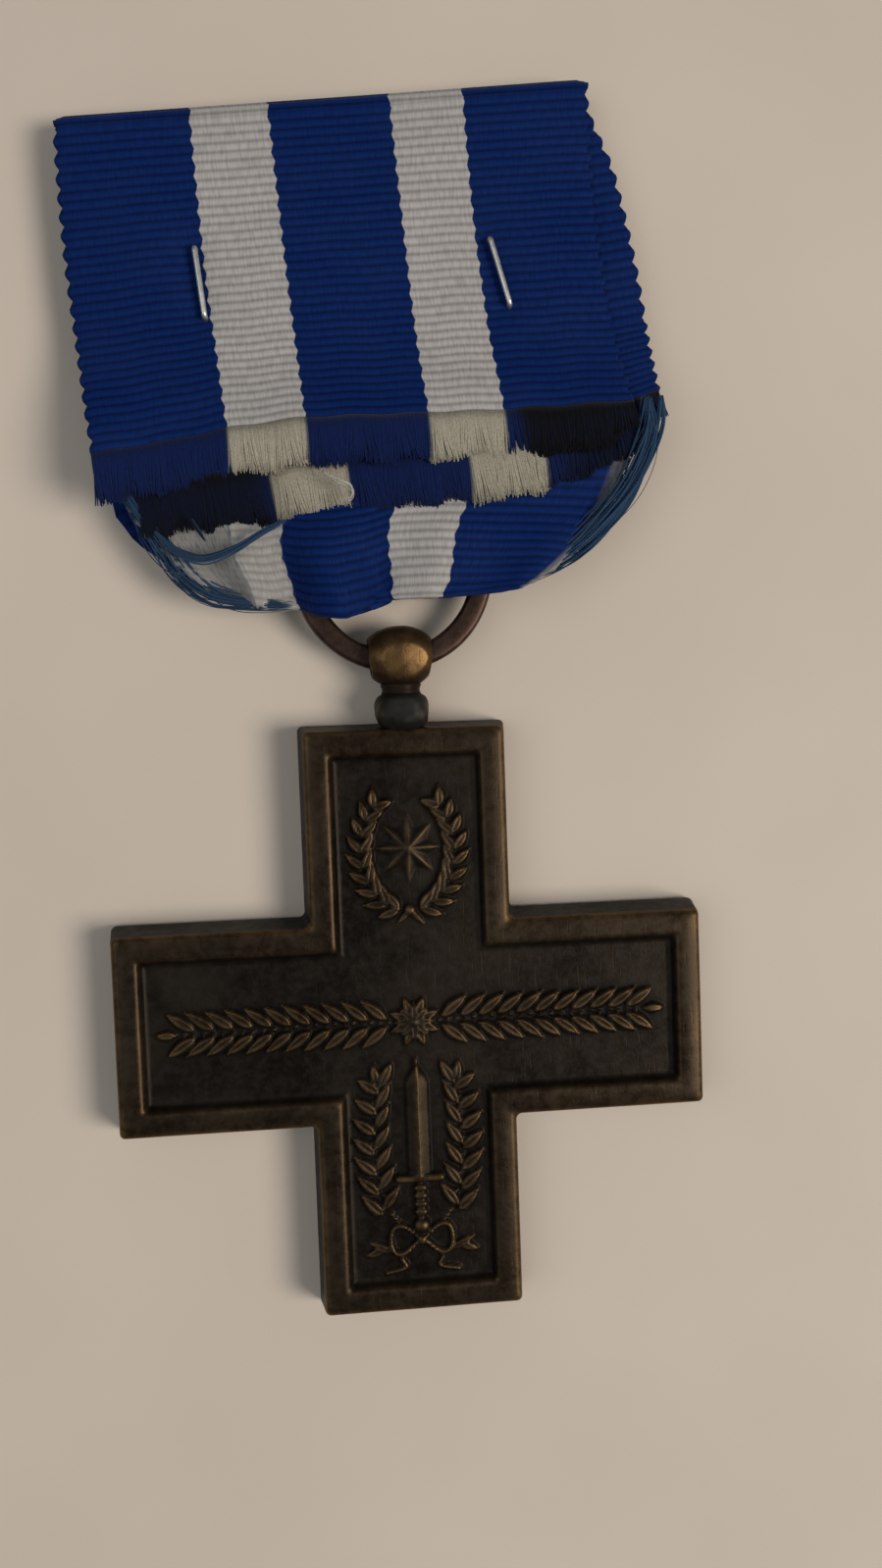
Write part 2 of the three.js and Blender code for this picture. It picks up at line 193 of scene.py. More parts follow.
def tube(path, radius, sides):
    """A closed tube along a path; `radius` is one number, or one for each point."""
    path = np.asarray(path, float)
    radius = np.broadcast_to(radius, len(path))
    along = np.gradient(path, axis=0)
    along /= np.linalg.norm(along, axis=1, keepdims=True)
    side = np.cross(along[0], [0.0, 0.0, 1.0])
    if np.linalg.norm(side) < 0.1:
        side = np.cross(along[0], [1.0, 0.0, 0.0])
    rings = []
    angles = circle(sides)[:, None]
    for point, ahead, r in zip(path, along, radius):
        side = side - ahead * (side @ ahead)
        side /= np.linalg.norm(side)
        other = np.cross(ahead, side)
        rings.append(point + r * (np.cos(angles) * side + np.sin(angles) * other))
    count = len(path) * sides
    points = np.concatenate(rings + [path[:1], path[-1:]])
    ring = np.arange(sides)
    turned = (ring + 1) % sides
    first = np.stack([np.full(sides, count), turned, ring], axis=1)
    last = count - sides
    final = np.stack([np.full(sides, count + 1), last + ring, last + turned], axis=1)
    return points, [grid_quads(len(path), sides, closed=True), first, final]


def spline(points, count):
    """A smooth path through a few points."""
    points = np.asarray(points, float)
    padded = np.concatenate([[2 * points[0] - points[1]], points, [2 * points[-1] - points[-2]]])
    spans = len(points) - 1
    made = []
    for t in np.linspace(0, spans, count):
        i = min(int(t), spans - 1)
        f = t - i
        a, b, c, d = padded[i : i + 4]
        bent = (2 * a - 5 * b + 4 * c - d) * f**2 + (3 * b - a - 3 * c + d) * f**3
        made.append(0.5 * (2 * b + (c - a) * f + bent))
    return np.array(made)


def revolve(profile, axis, middle, sides, closed=False):
    """Turns (along, radius) pairs about the x or the y axis through `middle`."""
    profile = np.asarray(profile, float)
    angles = circle(sides)
    along = np.repeat(profile[:, :1], sides, axis=1)
    one, two = profile[:, 1:] * np.cos(angles), profile[:, 1:] * np.sin(angles)
    layout = [along, one, two] if axis == "x" else [two, along, one]
    points = np.stack(layout, axis=-1).reshape(-1, 3) + middle
    faces = [grid_quads(len(profile), sides, closed=True)]
    if closed:
        faces.append(between_rings((len(profile) - 1) * sides, 0, sides))
    return points, faces


def finish_values(wear, soot_and_shade):
    """The finish attribute of metal: how far its high parts are worn, and how far parts are darkened by
    soot and patina in hollows and by painted shade, 0 to 1.
    """
    wear, soot_and_shade = np.broadcast_arrays(wear, soot_and_shade)
    return np.stack([wear, soot_and_shade, np.zeros(wear.shape)], axis=-1).reshape(-1, 3)


# ---------------- materials


class Nodes:
    """A short way to write a procedural material."""

    def __init__(self, name):
        self.material = bpy.data.materials.new(name)
        self.material.use_nodes = True
        self.tree = self.material.node_tree
        self.shader = self.tree.nodes["Principled BSDF"]

    def node(self, kind, inputs=None, **settings):
        made = self.tree.nodes.new("ShaderNode" + kind)
        for key, value in settings.items():
            setattr(made, key, value)
        for key, value in (inputs or {}).items():
            self.set(made.inputs[key], value)
        return made

    def set(self, socket, value):
        if isinstance(value, bpy.types.NodeSocket):
            self.tree.links.new(value, socket)
        else:
            socket.default_value = value

    def math(self, operation, *values, clamp=False):
        made = self.node("Math", operation=operation, use_clamp=clamp)
        for index, value in enumerate(values):
            self.set(made.inputs[index], value)
        return made.outputs[0]

    def times(self, a, b, clamp=False):
        return self.math("MULTIPLY", a, b, clamp=clamp)

    def plus(self, a, b):
        return self.math("ADD", a, b)

    def ramp(self, value, low, high, to_low=0.0, to_high=1.0):
        inputs = {"Value": value, "From Min": low, "From Max": high, "To Min": to_low, "To Max": to_high}
        return self.node("MapRange", inputs, interpolation_type="SMOOTHSTEP").outputs[0]

    def attribute(self, name):
        """A vector attribute, whole and as its three parts."""
        vector = self.node("Attribute", attribute_name=name).outputs["Vector"]
        return vector, self.node("SeparateXYZ", {"Vector": vector}).outputs

    def scaled(self, vector, scale):
        return self.node("Mapping", {"Vector": vector, "Scale": scale}).outputs[0]

    def place(self, scale=(1, 1, 1)):
        return self.scaled(self.node("TexCoord").outputs["Object"], scale)

    def noise(self, vector, scale, detail=4.0, roughness=0.55):
        inputs = {"Vector": vector, "Scale": scale, "Detail": detail, "Roughness": roughness}
        return self.node("TexNoise", inputs).outputs["Fac"]

    def colour(self, factor, first, second):
        made = self.node("Mix", data_type="RGBA")
        self.set(made.inputs[0], factor)
        self.set(made.inputs[6], first)
        self.set(made.inputs[7], second)
        return made.outputs[2]

    def bump(self, height, strength, distance):
        inputs = {"Height": height, "Strength": strength, "Distance": distance}
        return self.node("Bump", inputs).outputs[0]

    def finish(self, **sockets):
        for key, value in sockets.items():
            self.set(self.shader.inputs[key.replace("_", " ")], value)
        return self.material


def rgb(red, green, blue):
    """A colour as seen, 0 to 255, as the linear light that the shader takes."""
    channel = [c / 255 for c in (red, green, blue)]
    return tuple(c / 12.92 if c <= 0.04045 else ((c + 0.055) / 1.055) ** 2.4 for c in channel) + (1.0,)


BLACK = (0.0, 0.0, 0.0, 1.0)
# Near-black: soot and patina in the metal's hollows, and painted shade on sides turned from the light.
SHADE_AND_SOOT_COLOUR = rgb(16, 13, 11)
BRONZE = dict(dark=rgb(27, 22, 18), mid=rgb(41, 35, 28), worn=rgb(134, 104, 66), sheen=rgb(53, 51, 49))
RUBBED = dict(dark=rgb(42, 31, 22), mid=rgb(64, 48, 31), worn=rgb(108, 83, 52), sheen=rgb(74, 60, 42))
SOLDER = dict(dark=rgb(36, 35, 33), mid=rgb(48, 46, 42), worn=rgb(92, 76, 54), sheen=rgb(56, 58, 56))
BROWN_WIRE = dict(dark=rgb(36, 27, 25), mid=rgb(56, 43, 40), worn=rgb(100, 76, 60), sheen=rgb(70, 59, 55))


def metal(name, dark, mid, worn, sheen, rough=(0.34, 0.52), wear_gain=1.0, metallic=0.85):
    """Patinated metal in patches of `dark` and `mid`, worn where its finish attribute says, and darkened
    where it says by soot in hollows and by painted shade.
    """
    n = Nodes(name)
    place = n.place()
    wear, soot_and_shade, _ = n.attribute("finish")[1]
    broad = n.noise(place, 170.0, 5.0)
    fine = n.noise(place, 1500.0, 4.0, 0.65)
    grain = n.noise(place, 5200.0, 3.0, 0.7)
    scratch = n.noise(n.place((1.0, 0.12, 1.0)), 4200.0, 2.0)
    patch = n.ramp(broad, 0.38, 0.66)
    base = n.colour(patch, dark, mid)
    base = n.colour(n.ramp(fine, 0.35, 0.75, 0.0, 0.35), base, sheen)
    broken = n.times(wear, n.ramp(fine, 0.25, 0.62, 0.45, 1.15))
    amount = n.times(broken, wear_gain, clamp=True)
    base = n.colour(amount, base, worn)
    # Darkened parts take a near-black colour: soot and patina in hollows, painted shade on shaded sides.
    base = n.colour(n.times(soot_and_shade, 0.8, clamp=True), base, SHADE_AND_SOOT_COLOUR)
    height = n.plus(n.times(fine, 0.6), n.times(grain, 0.4))
    height = n.plus(height, n.times(n.ramp(scratch, 0.6, 0.72), -0.25))
    cloudy = n.plus(n.times(fine, 0.5), n.times(broad, 0.5))
    roughness = n.ramp(cloudy, 0.3, 0.7, *rough)
    roughness = n.math("SUBTRACT", roughness, n.times(amount, 0.08))
    # Darkened parts are also made less metallic, so painted shade reflects less light.
    bright = n.math("SUBTRACT", 1.0, n.times(soot_and_shade, 0.9, clamp=True))
    return n.finish(
        Base_Color=base,
        Metallic=n.times(bright, metallic),
        Roughness=roughness,
        Specular_IOR_Level=0.06,
        Normal=n.bump(height, 0.35, 0.00006),
    )


RIB = 0.54             # pitch of the ribs across the ribbon
SCALLOP = 2 * RIB      # pitch of the scallops along its edges
STRIPE_INNER = 3.75    # a white stripe runs from here
STRIPE_OUTER = 8.45    # to here, on each side of the middle

# Each colour has a darker copy for the bottom of the grooves between the ribs: painted shade there.
BLUE = rgb(5, 36, 94)
BLUE_GROOVE_SHADE = rgb(3, 22, 68)
WHITE = rgb(184, 179, 174)
WHITE_GROOVE_SHADE = rgb(152, 147, 141)
WEFT = rgb(140, 137, 130)


def stripes(n, width, soft):
    """1 inside the white stripes, 0 outside; `width` is the distance from the ribbon's middle line."""
    inner = n.ramp(width, STRIPE_INNER - soft, STRIPE_INNER + soft)
    outer = n.ramp(width, STRIPE_OUTER - soft, STRIPE_OUTER + soft, 1.0, 0.0)
    return n.times(inner, outer)


def ribbon_material():
    """Ribs across the cloth, whose pairs make small steps along the stripes' borders."""
    n = Nodes("ribbon_grosgrain")
    weave, (across, along, fray) = n.attribute("weave")
    step = n.times(n.math("SUBTRACT", n.math("PINGPONG", along, RIB), RIB / 2), 0.32)
    white = stripes(n, n.plus(n.math("ABSOLUTE", across), step), 0.03)
    wave = n.math("ABSOLUTE", n.math("COSINE", n.times(along, pi / RIB)))
    ridge = n.ramp(wave, 0.1, 0.95)
    threads = n.noise(n.scaled(weave, (7.0, 1.1, 1.0)), 1.0, 2.0)
    soft = n.noise(n.scaled(weave, (0.16, 0.3, 1.0)), 1.0, 3.0)
    # Painted shade: the grooves between the ribs take the darker copy of each colour.
    blue = n.colour(ridge, BLUE_GROOVE_SHADE, BLUE)
    pale = n.colour(ridge, WHITE_GROOVE_SHADE, WHITE)
    base = n.colour(white, blue, pale)
    base = n.colour(n.ramp(threads, 0.35, 0.7, 0.0, 0.22), base, BLACK)
    base = n.colour(n.ramp(soft, 0.3, 0.75, 0.0, 0.10), base, rgb(40, 60, 100))
    bare = n.times(fray, n.ramp(threads, 0.3, 0.6, 0.55, 1.2), clamp=True)
    base = n.colour(bare, base, WEFT)
    height = n.plus(threads, n.times(ridge, 0.5))
    return n.finish(
        Base_Color=base,
        Roughness=n.ramp(threads, 0.2, 0.8, 0.58, 0.78),
        Specular_IOR_Level=0.07,
        Sheen_Weight=0.03,
        Sheen_Roughness=0.4,
        Normal=n.bump(height, 0.35, 0.00003),
    )


def thread_material(name, blue, pale):
    """Loose threads: blue, or `pale` where they come from a white stripe."""
    n = Nodes(name)
    across, _, shade = n.attribute("weave")[1]
    base = n.colour(stripes(n, n.math("ABSOLUTE", across), 0.15), blue, pale)
    # The weave attribute's third part darkens threads: painted shade and shadow on the fringe, and random
    # tone from thread to thread.
    base = n.colour(n.times(shade, 1.0, clamp=True), base, BLACK)
    twist = n.noise(n.place(), 9000.0, 2.0)
    return n.finish(
        Base_Color=n.colour(n.ramp(twist, 0.35, 0.7, 0.0, 0.25), base, BLACK),
        Roughness=0.85,
        Specular_IOR_Level=0.15,
        Sheen_Weight=0.08,
        Sheen_Roughness=0.5,
        Normal=n.bump(twist, 0.3, 0.00003),
    )


def wire_material():
    n = Nodes("staple_steel")
    place = n.place()
    fine = n.noise(place, 3000.0, 4.0, 0.6)
    spots = n.noise(place, 900.0, 3.0)
    base = n.colour(n.ramp(spots, 0.5, 0.75, 0.0, 0.3), rgb(216, 214, 208), rgb(170, 164, 150))
    return n.finish(
        Base_Color=base,
        Metallic=0.95,
        Roughness=n.ramp(fine, 0.3, 0.7, 0.34, 0.48),
        Normal=n.bump(fine, 0.2, 0.00003),
    )


# ---------------- the cross

SPAN = 19.0            # half the span, at the reverse
ARM = 6.7              # half the width of an arm
FIELD_Z = 2.7          # the obverse's sunk field
BACK_Z = 0.42          # the reverse's
SUNK = 2.5             # the field's flat part starts this far in from the outline
CELLS_ALONG = 124      # cells of the relief along an arm's side
CELLS_ACROSS = 84      # and across its end

# From the reverse's field out over its rim, up the side, and over the rim of the obverse to its field:
# inset from the outline, height, radius of the outer corners, radius of the inner ones, wear.
PROFILE = [
    (SUNK, BACK_Z, 0.00, 0.00, 0.0),
    (2.34, 0.40, 0.09, 0.10, 0.0),
    (2.20, 0.26, 0.15, 0.20, 0.2),
    (2.06, 0.07, 0.19, 0.25, 0.5),
    (1.90, 0.01, 0.22, 0.30, 0.25),
    (1.20, 0.00, 0.28, 0.35, 0.15),
    (0.42, 0.02, 0.31, 0.40, 0.3),
    (0.18, 0.10, 0.32, 0.40, 0.7),
    (0.04, 0.26, 0.33, 0.40, 0.4),
    (0.03, 0.60, 0.34, 0.40, 0.0),
    (0.14, 1.30, 0.34, 0.40, 0.0),
    (0.24, 2.05, 0.34, 0.40, 0.0),
    (0.32, 2.70, 0.34, 0.40, 0.0),
    (0.37, 2.97, 0.34, 0.40, 0.25),
    (0.44, 3.12, 0.32, 0.40, 0.6),
    (0.56, 3.22, 0.31, 0.38, 0.35),
    (0.78, 3.28, 0.30, 0.36, 0.1),
    (1.30, 3.31, 0.28, 0.34, 0.06),
    (1.66, 3.30, 0.26, 0.32, 0.08),
    (1.86, 3.27, 0.25, 0.30, 0.18),
    (1.98, 3.18, 0.24, 0.28, 0.2),
    (2.07, 3.00, 0.22, 0.25, 0.1),
    (2.16, 2.82, 0.19, 0.20, 0.0),
    (2.28, 2.73, 0.12, 0.12, 0.0),
    (SUNK, FIELD_Z, 0.00, 0.00, 0.0),
]


def cross_ring(inset, convex, concave, along, across):
    """The cross's outline, drawn in by `inset`, with its corners rounded. Every ring has as many points."""
    half, arm = SPAN - inset, ARM - inset
    reach = half - arm
    out = np.linspace(0, reach, along + 1)[:-1]
    side = np.stack([arm + out, np.full(along, -arm)], axis=1)
    up = np.linspace(0, arm, across // 2 + 1)
    end = np.stack([np.full(len(up), half), -arm + up], axis=1)

    def round_off(points, gap, radius, middle, corner, far):
        """Puts the points whose `gap` to the corner is under `radius` on an arc, from `corner` degrees."""
        near = gap < radius
        angle = np.radians(mix(corner, far, gap[near] / radius))
        points[near] = middle + radius * np.stack([np.cos(angle), np.sin(angle)], axis=1)

    tip = (half - convex, -arm + convex)
    round_off(side, out, concave, (arm + concave, -arm - concave), 135, 90)
    round_off(side, reach - out, convex, tip, -45, -90)
    round_off(end, up, convex, tip, -45, 0)
    lower = np.concatenate([side, end])
    upper = lower[::-1][1:-1] * (1, -1)
    x, y = np.concatenate([lower, upper]).T
    return np.concatenate([np.stack(turned, axis=1) for turned in ((x, y), (-y, x), (-x, -y), (y, -x))])


class Relief:
    """Raised ornament as a height over the field, in millimetres."""

    def __init__(self, x, y):
        self.x, self.y = x, y
        self.height = np.zeros(np.broadcast(x, y).shape)

    def local(self, x, y, turn):
        c, s = cos(turn), sin(turn)
        dx, dy = self.x - x, self.y - y
        return dx * c + dy * s, dy * c - dx * s

    def raise_to(self, height):
        self.height = np.maximum(self.height, height)

    def leaf(self, x, y, turn, length, half, top=0.36):
        """A pointed leaf that grows from x, y along `turn`, with a groove for its midrib."""
        u, v = self.local(x, y, turn)
        t = np.clip(u / length, 0, 1)
        edge = half * np.sin(pi * t**0.8) + 1e-6
        inside = np.clip(1 - np.abs(v) / edge, 0, 1) * (u > 0) * (u < length)
        swell = np.sin(pi / 2 * np.clip(inside * 1.5, 0, 1))
        groove = 0.3 * bell(v, 0.07) * smooth(0.0, 0.15, t) * smooth(1.0, 0.8, t)
        self.raise_to(top * (swell - groove * (inside > 0)))

    def dome(self, x, y, radius, top=0.34):
        r = np.hypot(self.x - x, self.y - y) / radius
        self.raise_to(top * np.sqrt(np.clip(1 - r**2, 0, 1)))

    def bar(self, x, y, turn, length, half, top=0.3, bevel=0.14):
        """A rounded bar centred on x, y."""
        u, v = self.local(x, y, turn)
        gap = np.hypot(np.maximum(np.abs(u) - (length / 2 - half), 0), v) - half
        self.raise_to(top * smooth(0, bevel, -gap))

    def stem(self, points, half, top=0.2):
        path = spline(points, 24)
        nearest = np.full(self.height.shape, 9.0)
        for x, y in path:
            nearest = np.minimum(nearest, np.hypot(self.x - x, self.y - y))
        self.raise_to(top * np.sqrt(np.clip(1 - (nearest / half) ** 2, 0, 1)))

    def star(self, x, y, points, outer, inner, top=0.45):
        """A star whose points rise to ridges, like a cut stone."""
        u, v = self.local(x, y, pi / 2)
        pitch = 2 * pi / points
        angle = np.abs((np.arctan2(v, u) + pitch / 2) % pitch - pitch / 2)
        radius = np.hypot(u, v)
        tip = np.array([outer, 0.0])
        notch = np.array([inner * cos(pitch / 2), inner * sin(pitch / 2)])
        normal = np.array([notch[1] - tip[1], tip[0] - notch[0]])
        reach = (tip @ normal) / (np.cos(angle) * normal[0] + np.sin(angle) * normal[1])
        self.raise_to(top * np.clip(1 - radius / reach, 0, 1) ** 0.8)


def wreath_and_star(relief):
    """Upper arm: a star inside a wreath that is open at the top."""
    y, wide, tall = 11.0, 2.95, 3.85
    relief.star(0.0, y + 0.1, 8, 2.2, 1.25)
    for side in (-1, 1):
        relief.stem([(side * wide * sin(a), y - tall * cos(a)) for a in np.linspace(0.0, 2.5, 7)], 0.13)
        for step in range(9):
            a = 0.22 + 0.265 * step
            heading = atan2(tall * sin(a), side * wide * cos(a))
            for lean in (-0.62, 0.62):
                at = (side * wide * sin(a), y - tall * cos(a))
                relief.leaf(*at, heading + lean, 1.6 - 0.03 * step, 0.46)
        relief.leaf(0.0, y - tall, -pi / 2 + side * 0.75, 1.25, 0.24, 0.26)
    relief.dome(0.0, y - tall, 0.42)


def garland(relief):
    """Horizontal arms: laurel running outwards from a rosette."""
    for petal in range(8):
        relief.leaf(0.0, 0.0, petal * pi / 4 + pi / 8, 1.75, 0.5, 0.34)
    for petal in range(8):
        relief.leaf(0.0, 0.0, petal * pi / 4, 1.25, 0.4, 0.42)
    relief.dome(0.0, 0.0, 0.42, 0.5)
    for side in (-1, 1):
        relief.stem([(side * 1.6, 0.0), (side * 6.0, 0.12), (side * 11.0, -0.1), (side * 15.6, 0.0)], 0.14)
        for step in range(11):
            start = side * (1.75 + 1.2 * step)
            heading = 0.0 if side > 0 else pi
            for lean in (-1, 1):
                turn = heading + side * lean * (0.68 - 0.01 * step)
                relief.leaf(start, 0.22 * lean, turn, 2.15, 0.52, 0.38)
        relief.leaf(side * 14.9, 0.0, 0.0 if side > 0 else pi, 1.4, 0.36)


def sword_and_sprays(relief):
    """Lower arm: an upright sword between two sprays, tied with a bow."""
    ridge = np.clip(1 - np.abs(relief.x) / (0.72 * smooth(-2.35, -4.0, relief.y) + 1e-6), 0, 1)
    blade = (relief.y < -2.4) * (relief.y > -10.0)
    relief.raise_to(blade * (0.16 * (ridge > 0) + 0.34 * ridge))
    relief.bar(0.0, -10.1, 0.0, 3.3, 0.32, 0.46)
    for step in range(4):
        relief.bar(0.0, -10.75 - 0.52 * step, 0.0, 1.0, 0.25, 0.36)
    relief.bar(0.0, -11.6, pi / 2, 2.6, 0.36, 0.28)
    relief.dome(0.0, -13.25, 0.6, 0.46)
    for side in (-1, 1):
        stem = [(0.3, -13.7), (2.0, -12.2), (2.9, -8.0), (2.6, -3.9)]
        relief.stem([(side * x, y) for x, y in stem], 0.15)
        for step in range(7):
            y = -12.4 + 1.32 * step
            x = side * (2.05 + 0.75 * sin(0.5 + step * 0.36))
            outward = pi / 2 - side * (0.78 + 0.03 * step)
            relief.leaf(x, y, outward, 1.95 - 0.04 * step, 0.55, 0.34)
            inward = pi / 2 + side * (0.62 - 0.02 * step)
            relief.leaf(x, y + 0.35, inward, 1.85, 0.5, 0.32)
            if step % 2 == 0:
                relief.dome(x + side * 0.5, y + 0.1, 0.23, 0.28)
        relief.leaf(side * 2.6, -3.9, pi / 2 - side * 0.1, 1.35, 0.4, 0.34)
        turns = np.linspace(0, pi, 7)
        loop = [(side * (0.1 + 1.9 * sin(a)), -14.1 + 0.95 * sin(2 * a)) for a in turns]
        relief.stem(loop, 0.2, 0.36)
        tail = [(0.2, -14.2), (1.3, -15.2), (1.1, -15.9), (2.3, -16.2)]
        relief.stem([(side * x, y) for x, y in tail], 0.18, 0.3)
        relief.leaf(side * 2.3, -14.6, pi / 2 - side * 1.9, 1.5, 0.36, 0.28)
        relief.leaf(side * 1.9, -14.9, pi / 2 - side * 1.1, 1.7, 0.36, 0.28)
    relief.dome(0.0, -14.1, 0.42, 0.46)


def sunburst(relief):
    """Reverse: a star in rays that fill the middle."""
    radius = np.hypot(relief.x, relief.y)
    angle = np.arctan2(relief.y, relief.x)
    rays = 0.5 + 0.5 * np.cos(24 * angle)
    relief.raise_to(0.16 * rays * smooth(7.5, 6.0, radius) * smooth(2.6, 3.2, radius))
    relief.star(0.0, 0.0, 5, 2.9, 1.2, 0.4)


def front_ornament(relief):
    wreath_and_star(relief)
    garland(relief)
    sword_and_sprays(relief)


def blurred(height, cells):
    """A box blur, twice."""
    for _ in range(2):
        for axis in (0, 1):
            total = np.zeros_like(height)
            for shift in range(-cells, cells + 1):
                total += np.roll(height, shift, axis)
            height = total / (2 * cells + 1)
    return height


def field_grid(ring, along, across, z, ornament, blur_cells):
    """The field inside a ring of vertices, which are numbered first: a grid with the ornament on it."""
    reach, arm = SPAN - SUNK, ARM - SUNK
    limit = np.abs(ring).max()
    if limit < reach - 1e-6:
        reach, arm = limit, arm - (reach - limit)
    outer = np.linspace(arm, reach, along + 1)
    lines = np.concatenate([-outer[::-1], np.linspace(-arm, arm, across + 1)[1:], outer[1:]])
    x, y = np.meshgrid(lines, lines, indexing="ij")
    relief = Relief(x, y)
    ornament(relief)
    low = blurred(relief.height, blur_cells)
    convex = np.clip((relief.height - low) / 0.16, 0, 1)
    hollow = np.clip((low - relief.height) / 0.10, 0, 1)
    index = np.full(x.shape, -1)
    i = np.abs(lines[None, :] - ring[:, :1]).argmin(axis=1)
    j = np.abs(lines[None, :] - ring[:, 1:]).argmin(axis=1)
    inside = (np.abs(x) <= arm + 1e-6) | (np.abs(y) <= arm + 1e-6)
    index[i, j] = np.arange(len(ring))
    new = inside & (index < 0)
    index[new] = np.arange(new.sum()) + len(ring)
    points = np.stack([x[new], y[new], z(relief.height[new])], axis=1)
    kept = np.abs(x[:-1, :-1] + x[1:, 1:]) / 2 < arm
    kept |= np.abs(y[:-1, :-1] + y[1:, 1:]) / 2 < arm
    cells = np.stack([index[:-1, :-1], index[1:, :-1], index[1:, 1:], index[:-1, 1:]], axis=-1)[kept]
    return points, cells, finish_values(0.32 * convex[new], 0.8 * hollow[new])


def planchet():
    rings, finish = [], []
    for inset, z, convex, concave, wear in PROFILE:
        ring = cross_ring(inset, convex, concave, CELLS_ALONG, CELLS_ACROSS)
        corner = np.minimum(SPAN - np.abs(ring).max(axis=1), 9) + np.abs(np.abs(ring).min(axis=1) - ARM)
        knocks = 0.5 + 0.5 * ripple(ring[:, 0], ring[:, 1], 2.3, 0.4)
        worn = wear * (0.55 + 0.45 * knocks) + 0.5 * wear * bell(corner, 1.6)
        height = z + 0.02 * ripple(ring[:, 0], ring[:, 1], 4.0, 1.0) * (0.3 < z < 3.4) * (wear > 0)
        rings.append(np.column_stack([ring, height]))
        # Painted shade: the side wall is darkened all round, as if shaded; the inner slopes down to the
        # fields are a little darker too.
        soot_and_shade = 1.0 if 0.3 < z < 2.8 and inset < 1 else 0.25 if 2.05 < inset < 2.4 else 0.0
        finish.append(finish_values(worn, soot_and_shade))
    count, total = len(rings[0]), len(rings) * len(rings[0])
    quads = grid_quads(len(rings), count, closed=True)
    parts = [(np.concatenate(rings), quads, np.concatenate(finish))]

    # Obverse: a fine grid inside the last ring.
    inner, cells, shade = field_grid(
        rings[-1][:, :2], CELLS_ALONG, CELLS_ACROSS, lambda height: FIELD_Z + height, front_ornament, 3
    )
    parts.append((inner, cells + total - count, shade))
    total += len(inner)

    # Reverse: a coarser grid, joined to the first ring by faces with five corners.
    coarse = cross_ring(SUNK + 0.2, 0, 0, CELLS_ALONG // 2, CELLS_ACROSS // 2)
    half = len(coarse)
    step = np.arange(half)
    following = (step + 1) % half
    joint = [2 * step, total + step, total + following, (2 * step + 2) % count, 2 * step + 1]
    inner, cells, shade = field_grid(
        coarse, CELLS_ALONG // 2, CELLS_ACROSS // 2, lambda height: BACK_Z - height, sunburst, 1
    )
    inner = np.concatenate([np.column_stack([coarse, np.full(half, BACK_Z)]), inner])
    parts.append((inner, cells[:, ::-1] + total, np.concatenate([np.zeros((half, 3)), shade])))

    points, quads, finish = (np.concatenate(values) for values in zip(*parts))
    material = metal("struck_bronze", **BRONZE)
    made = make_object("cross", points, [quads, np.stack(joint, axis=1)], material, finish=finish)
    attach(made, "cross")
    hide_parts("cross_planchet")


# ---------------- ball, collar and ring

HANGER_Z = 2.1         # the axis of collar, ball and ring
COLLAR_TOP_Z = 3.62    # its front is flattened here
BALL_Y = 23.1
BALL_RADIUS = 2.1
BALL_WIDEN = 1.22      # it is wider than it is tall, along the bore
BORE = 1.2             # radius
RING_CENTRE = (-0.2, 28.45, HANGER_Z)
RING_RADIUS = 5.55


def drilled_ball():
    """A bead bored from side to side, its front rubbed flat, on a short neck."""
    flat = 1.74            # from the middle to the rubbed front
    first = asin(BORE / BALL_RADIUS) + 0.07
    turns = np.linspace(first, pi - first, 44)
    outer = [(-BALL_WIDEN * BALL_RADIUS * cos(a), BALL_RADIUS * sin(a)) for a in turns]
    lip = outer[-1][0]
    bore = [(a, BORE - 0.03 + 0.10 * (abs(a) / lip) ** 8) for a in np.linspace(lip - 0.03, -lip + 0.03, 14)]
    points, faces = revolve(outer + bore, "x", (0, 0, 0), 72, closed=True)
    outside = np.linalg.norm(points / (BALL_WIDEN, 1, 1), axis=1) > BALL_RADIUS - 0.05
    facing = np.array([0.10, -0.16, 1.0])
    facing /= np.linalg.norm(facing)
    ahead = points @ facing
    over = np.clip(ahead - flat, 0, None) * outside
    points -= (over * 0.72)[:, None] * facing
    points[:, 1] *= 0.95
    points[:, 0] *= 1 - 0.13 * smooth(0.2, -1.8, points[:, 1])
    rim = bell(ahead - flat, 0.12) * outside
    bumps = 0.012 * ripple(points[:, 0], points[:, 2], 0.9, 2.0)
    points *= (1 + bumps * outside)[:, None]
    # Painted shade: the inside of the bore, the bottom by the neck and the top by the ring are darkened,
    # and kept from the worn colour.
    low = smooth(-0.6, -1.7, points[:, 1])
    back = smooth(0.6, 1.9, points[:, 1])
    wear = np.clip(0.62 + 0.3 * rim - 0.6 * low - 0.45 * back - 0.7 * ~outside, 0, 1)
    soot_and_shade = np.clip(0.8 * ~outside + 0.5 * low + 0.35 * back, 0, 1)
    shell = Shell()
    shell.add(points + (0, BALL_Y, HANGER_Z), faces, finish_values(wear, soot_and_shade))
    neck = [(-2.35, 0), (-2.35, 1.28), (-2.1, 1.2), (-1.95, 1.2), (-1.75, 1.3), (-1.62, 1.2), (-1.6, 0)]
    points, faces = revolve(neck, "y", (0, BALL_Y, HANGER_Z), 48)
    shell.add(points, faces, (0.0, 0.85, 0))
    material = metal("rubbed_bronze", **RUBBED, rough=(0.38, 0.5))
    made = shell.make("ball", material, "finish")
    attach(made, "cross")
    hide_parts("suspension_ball")


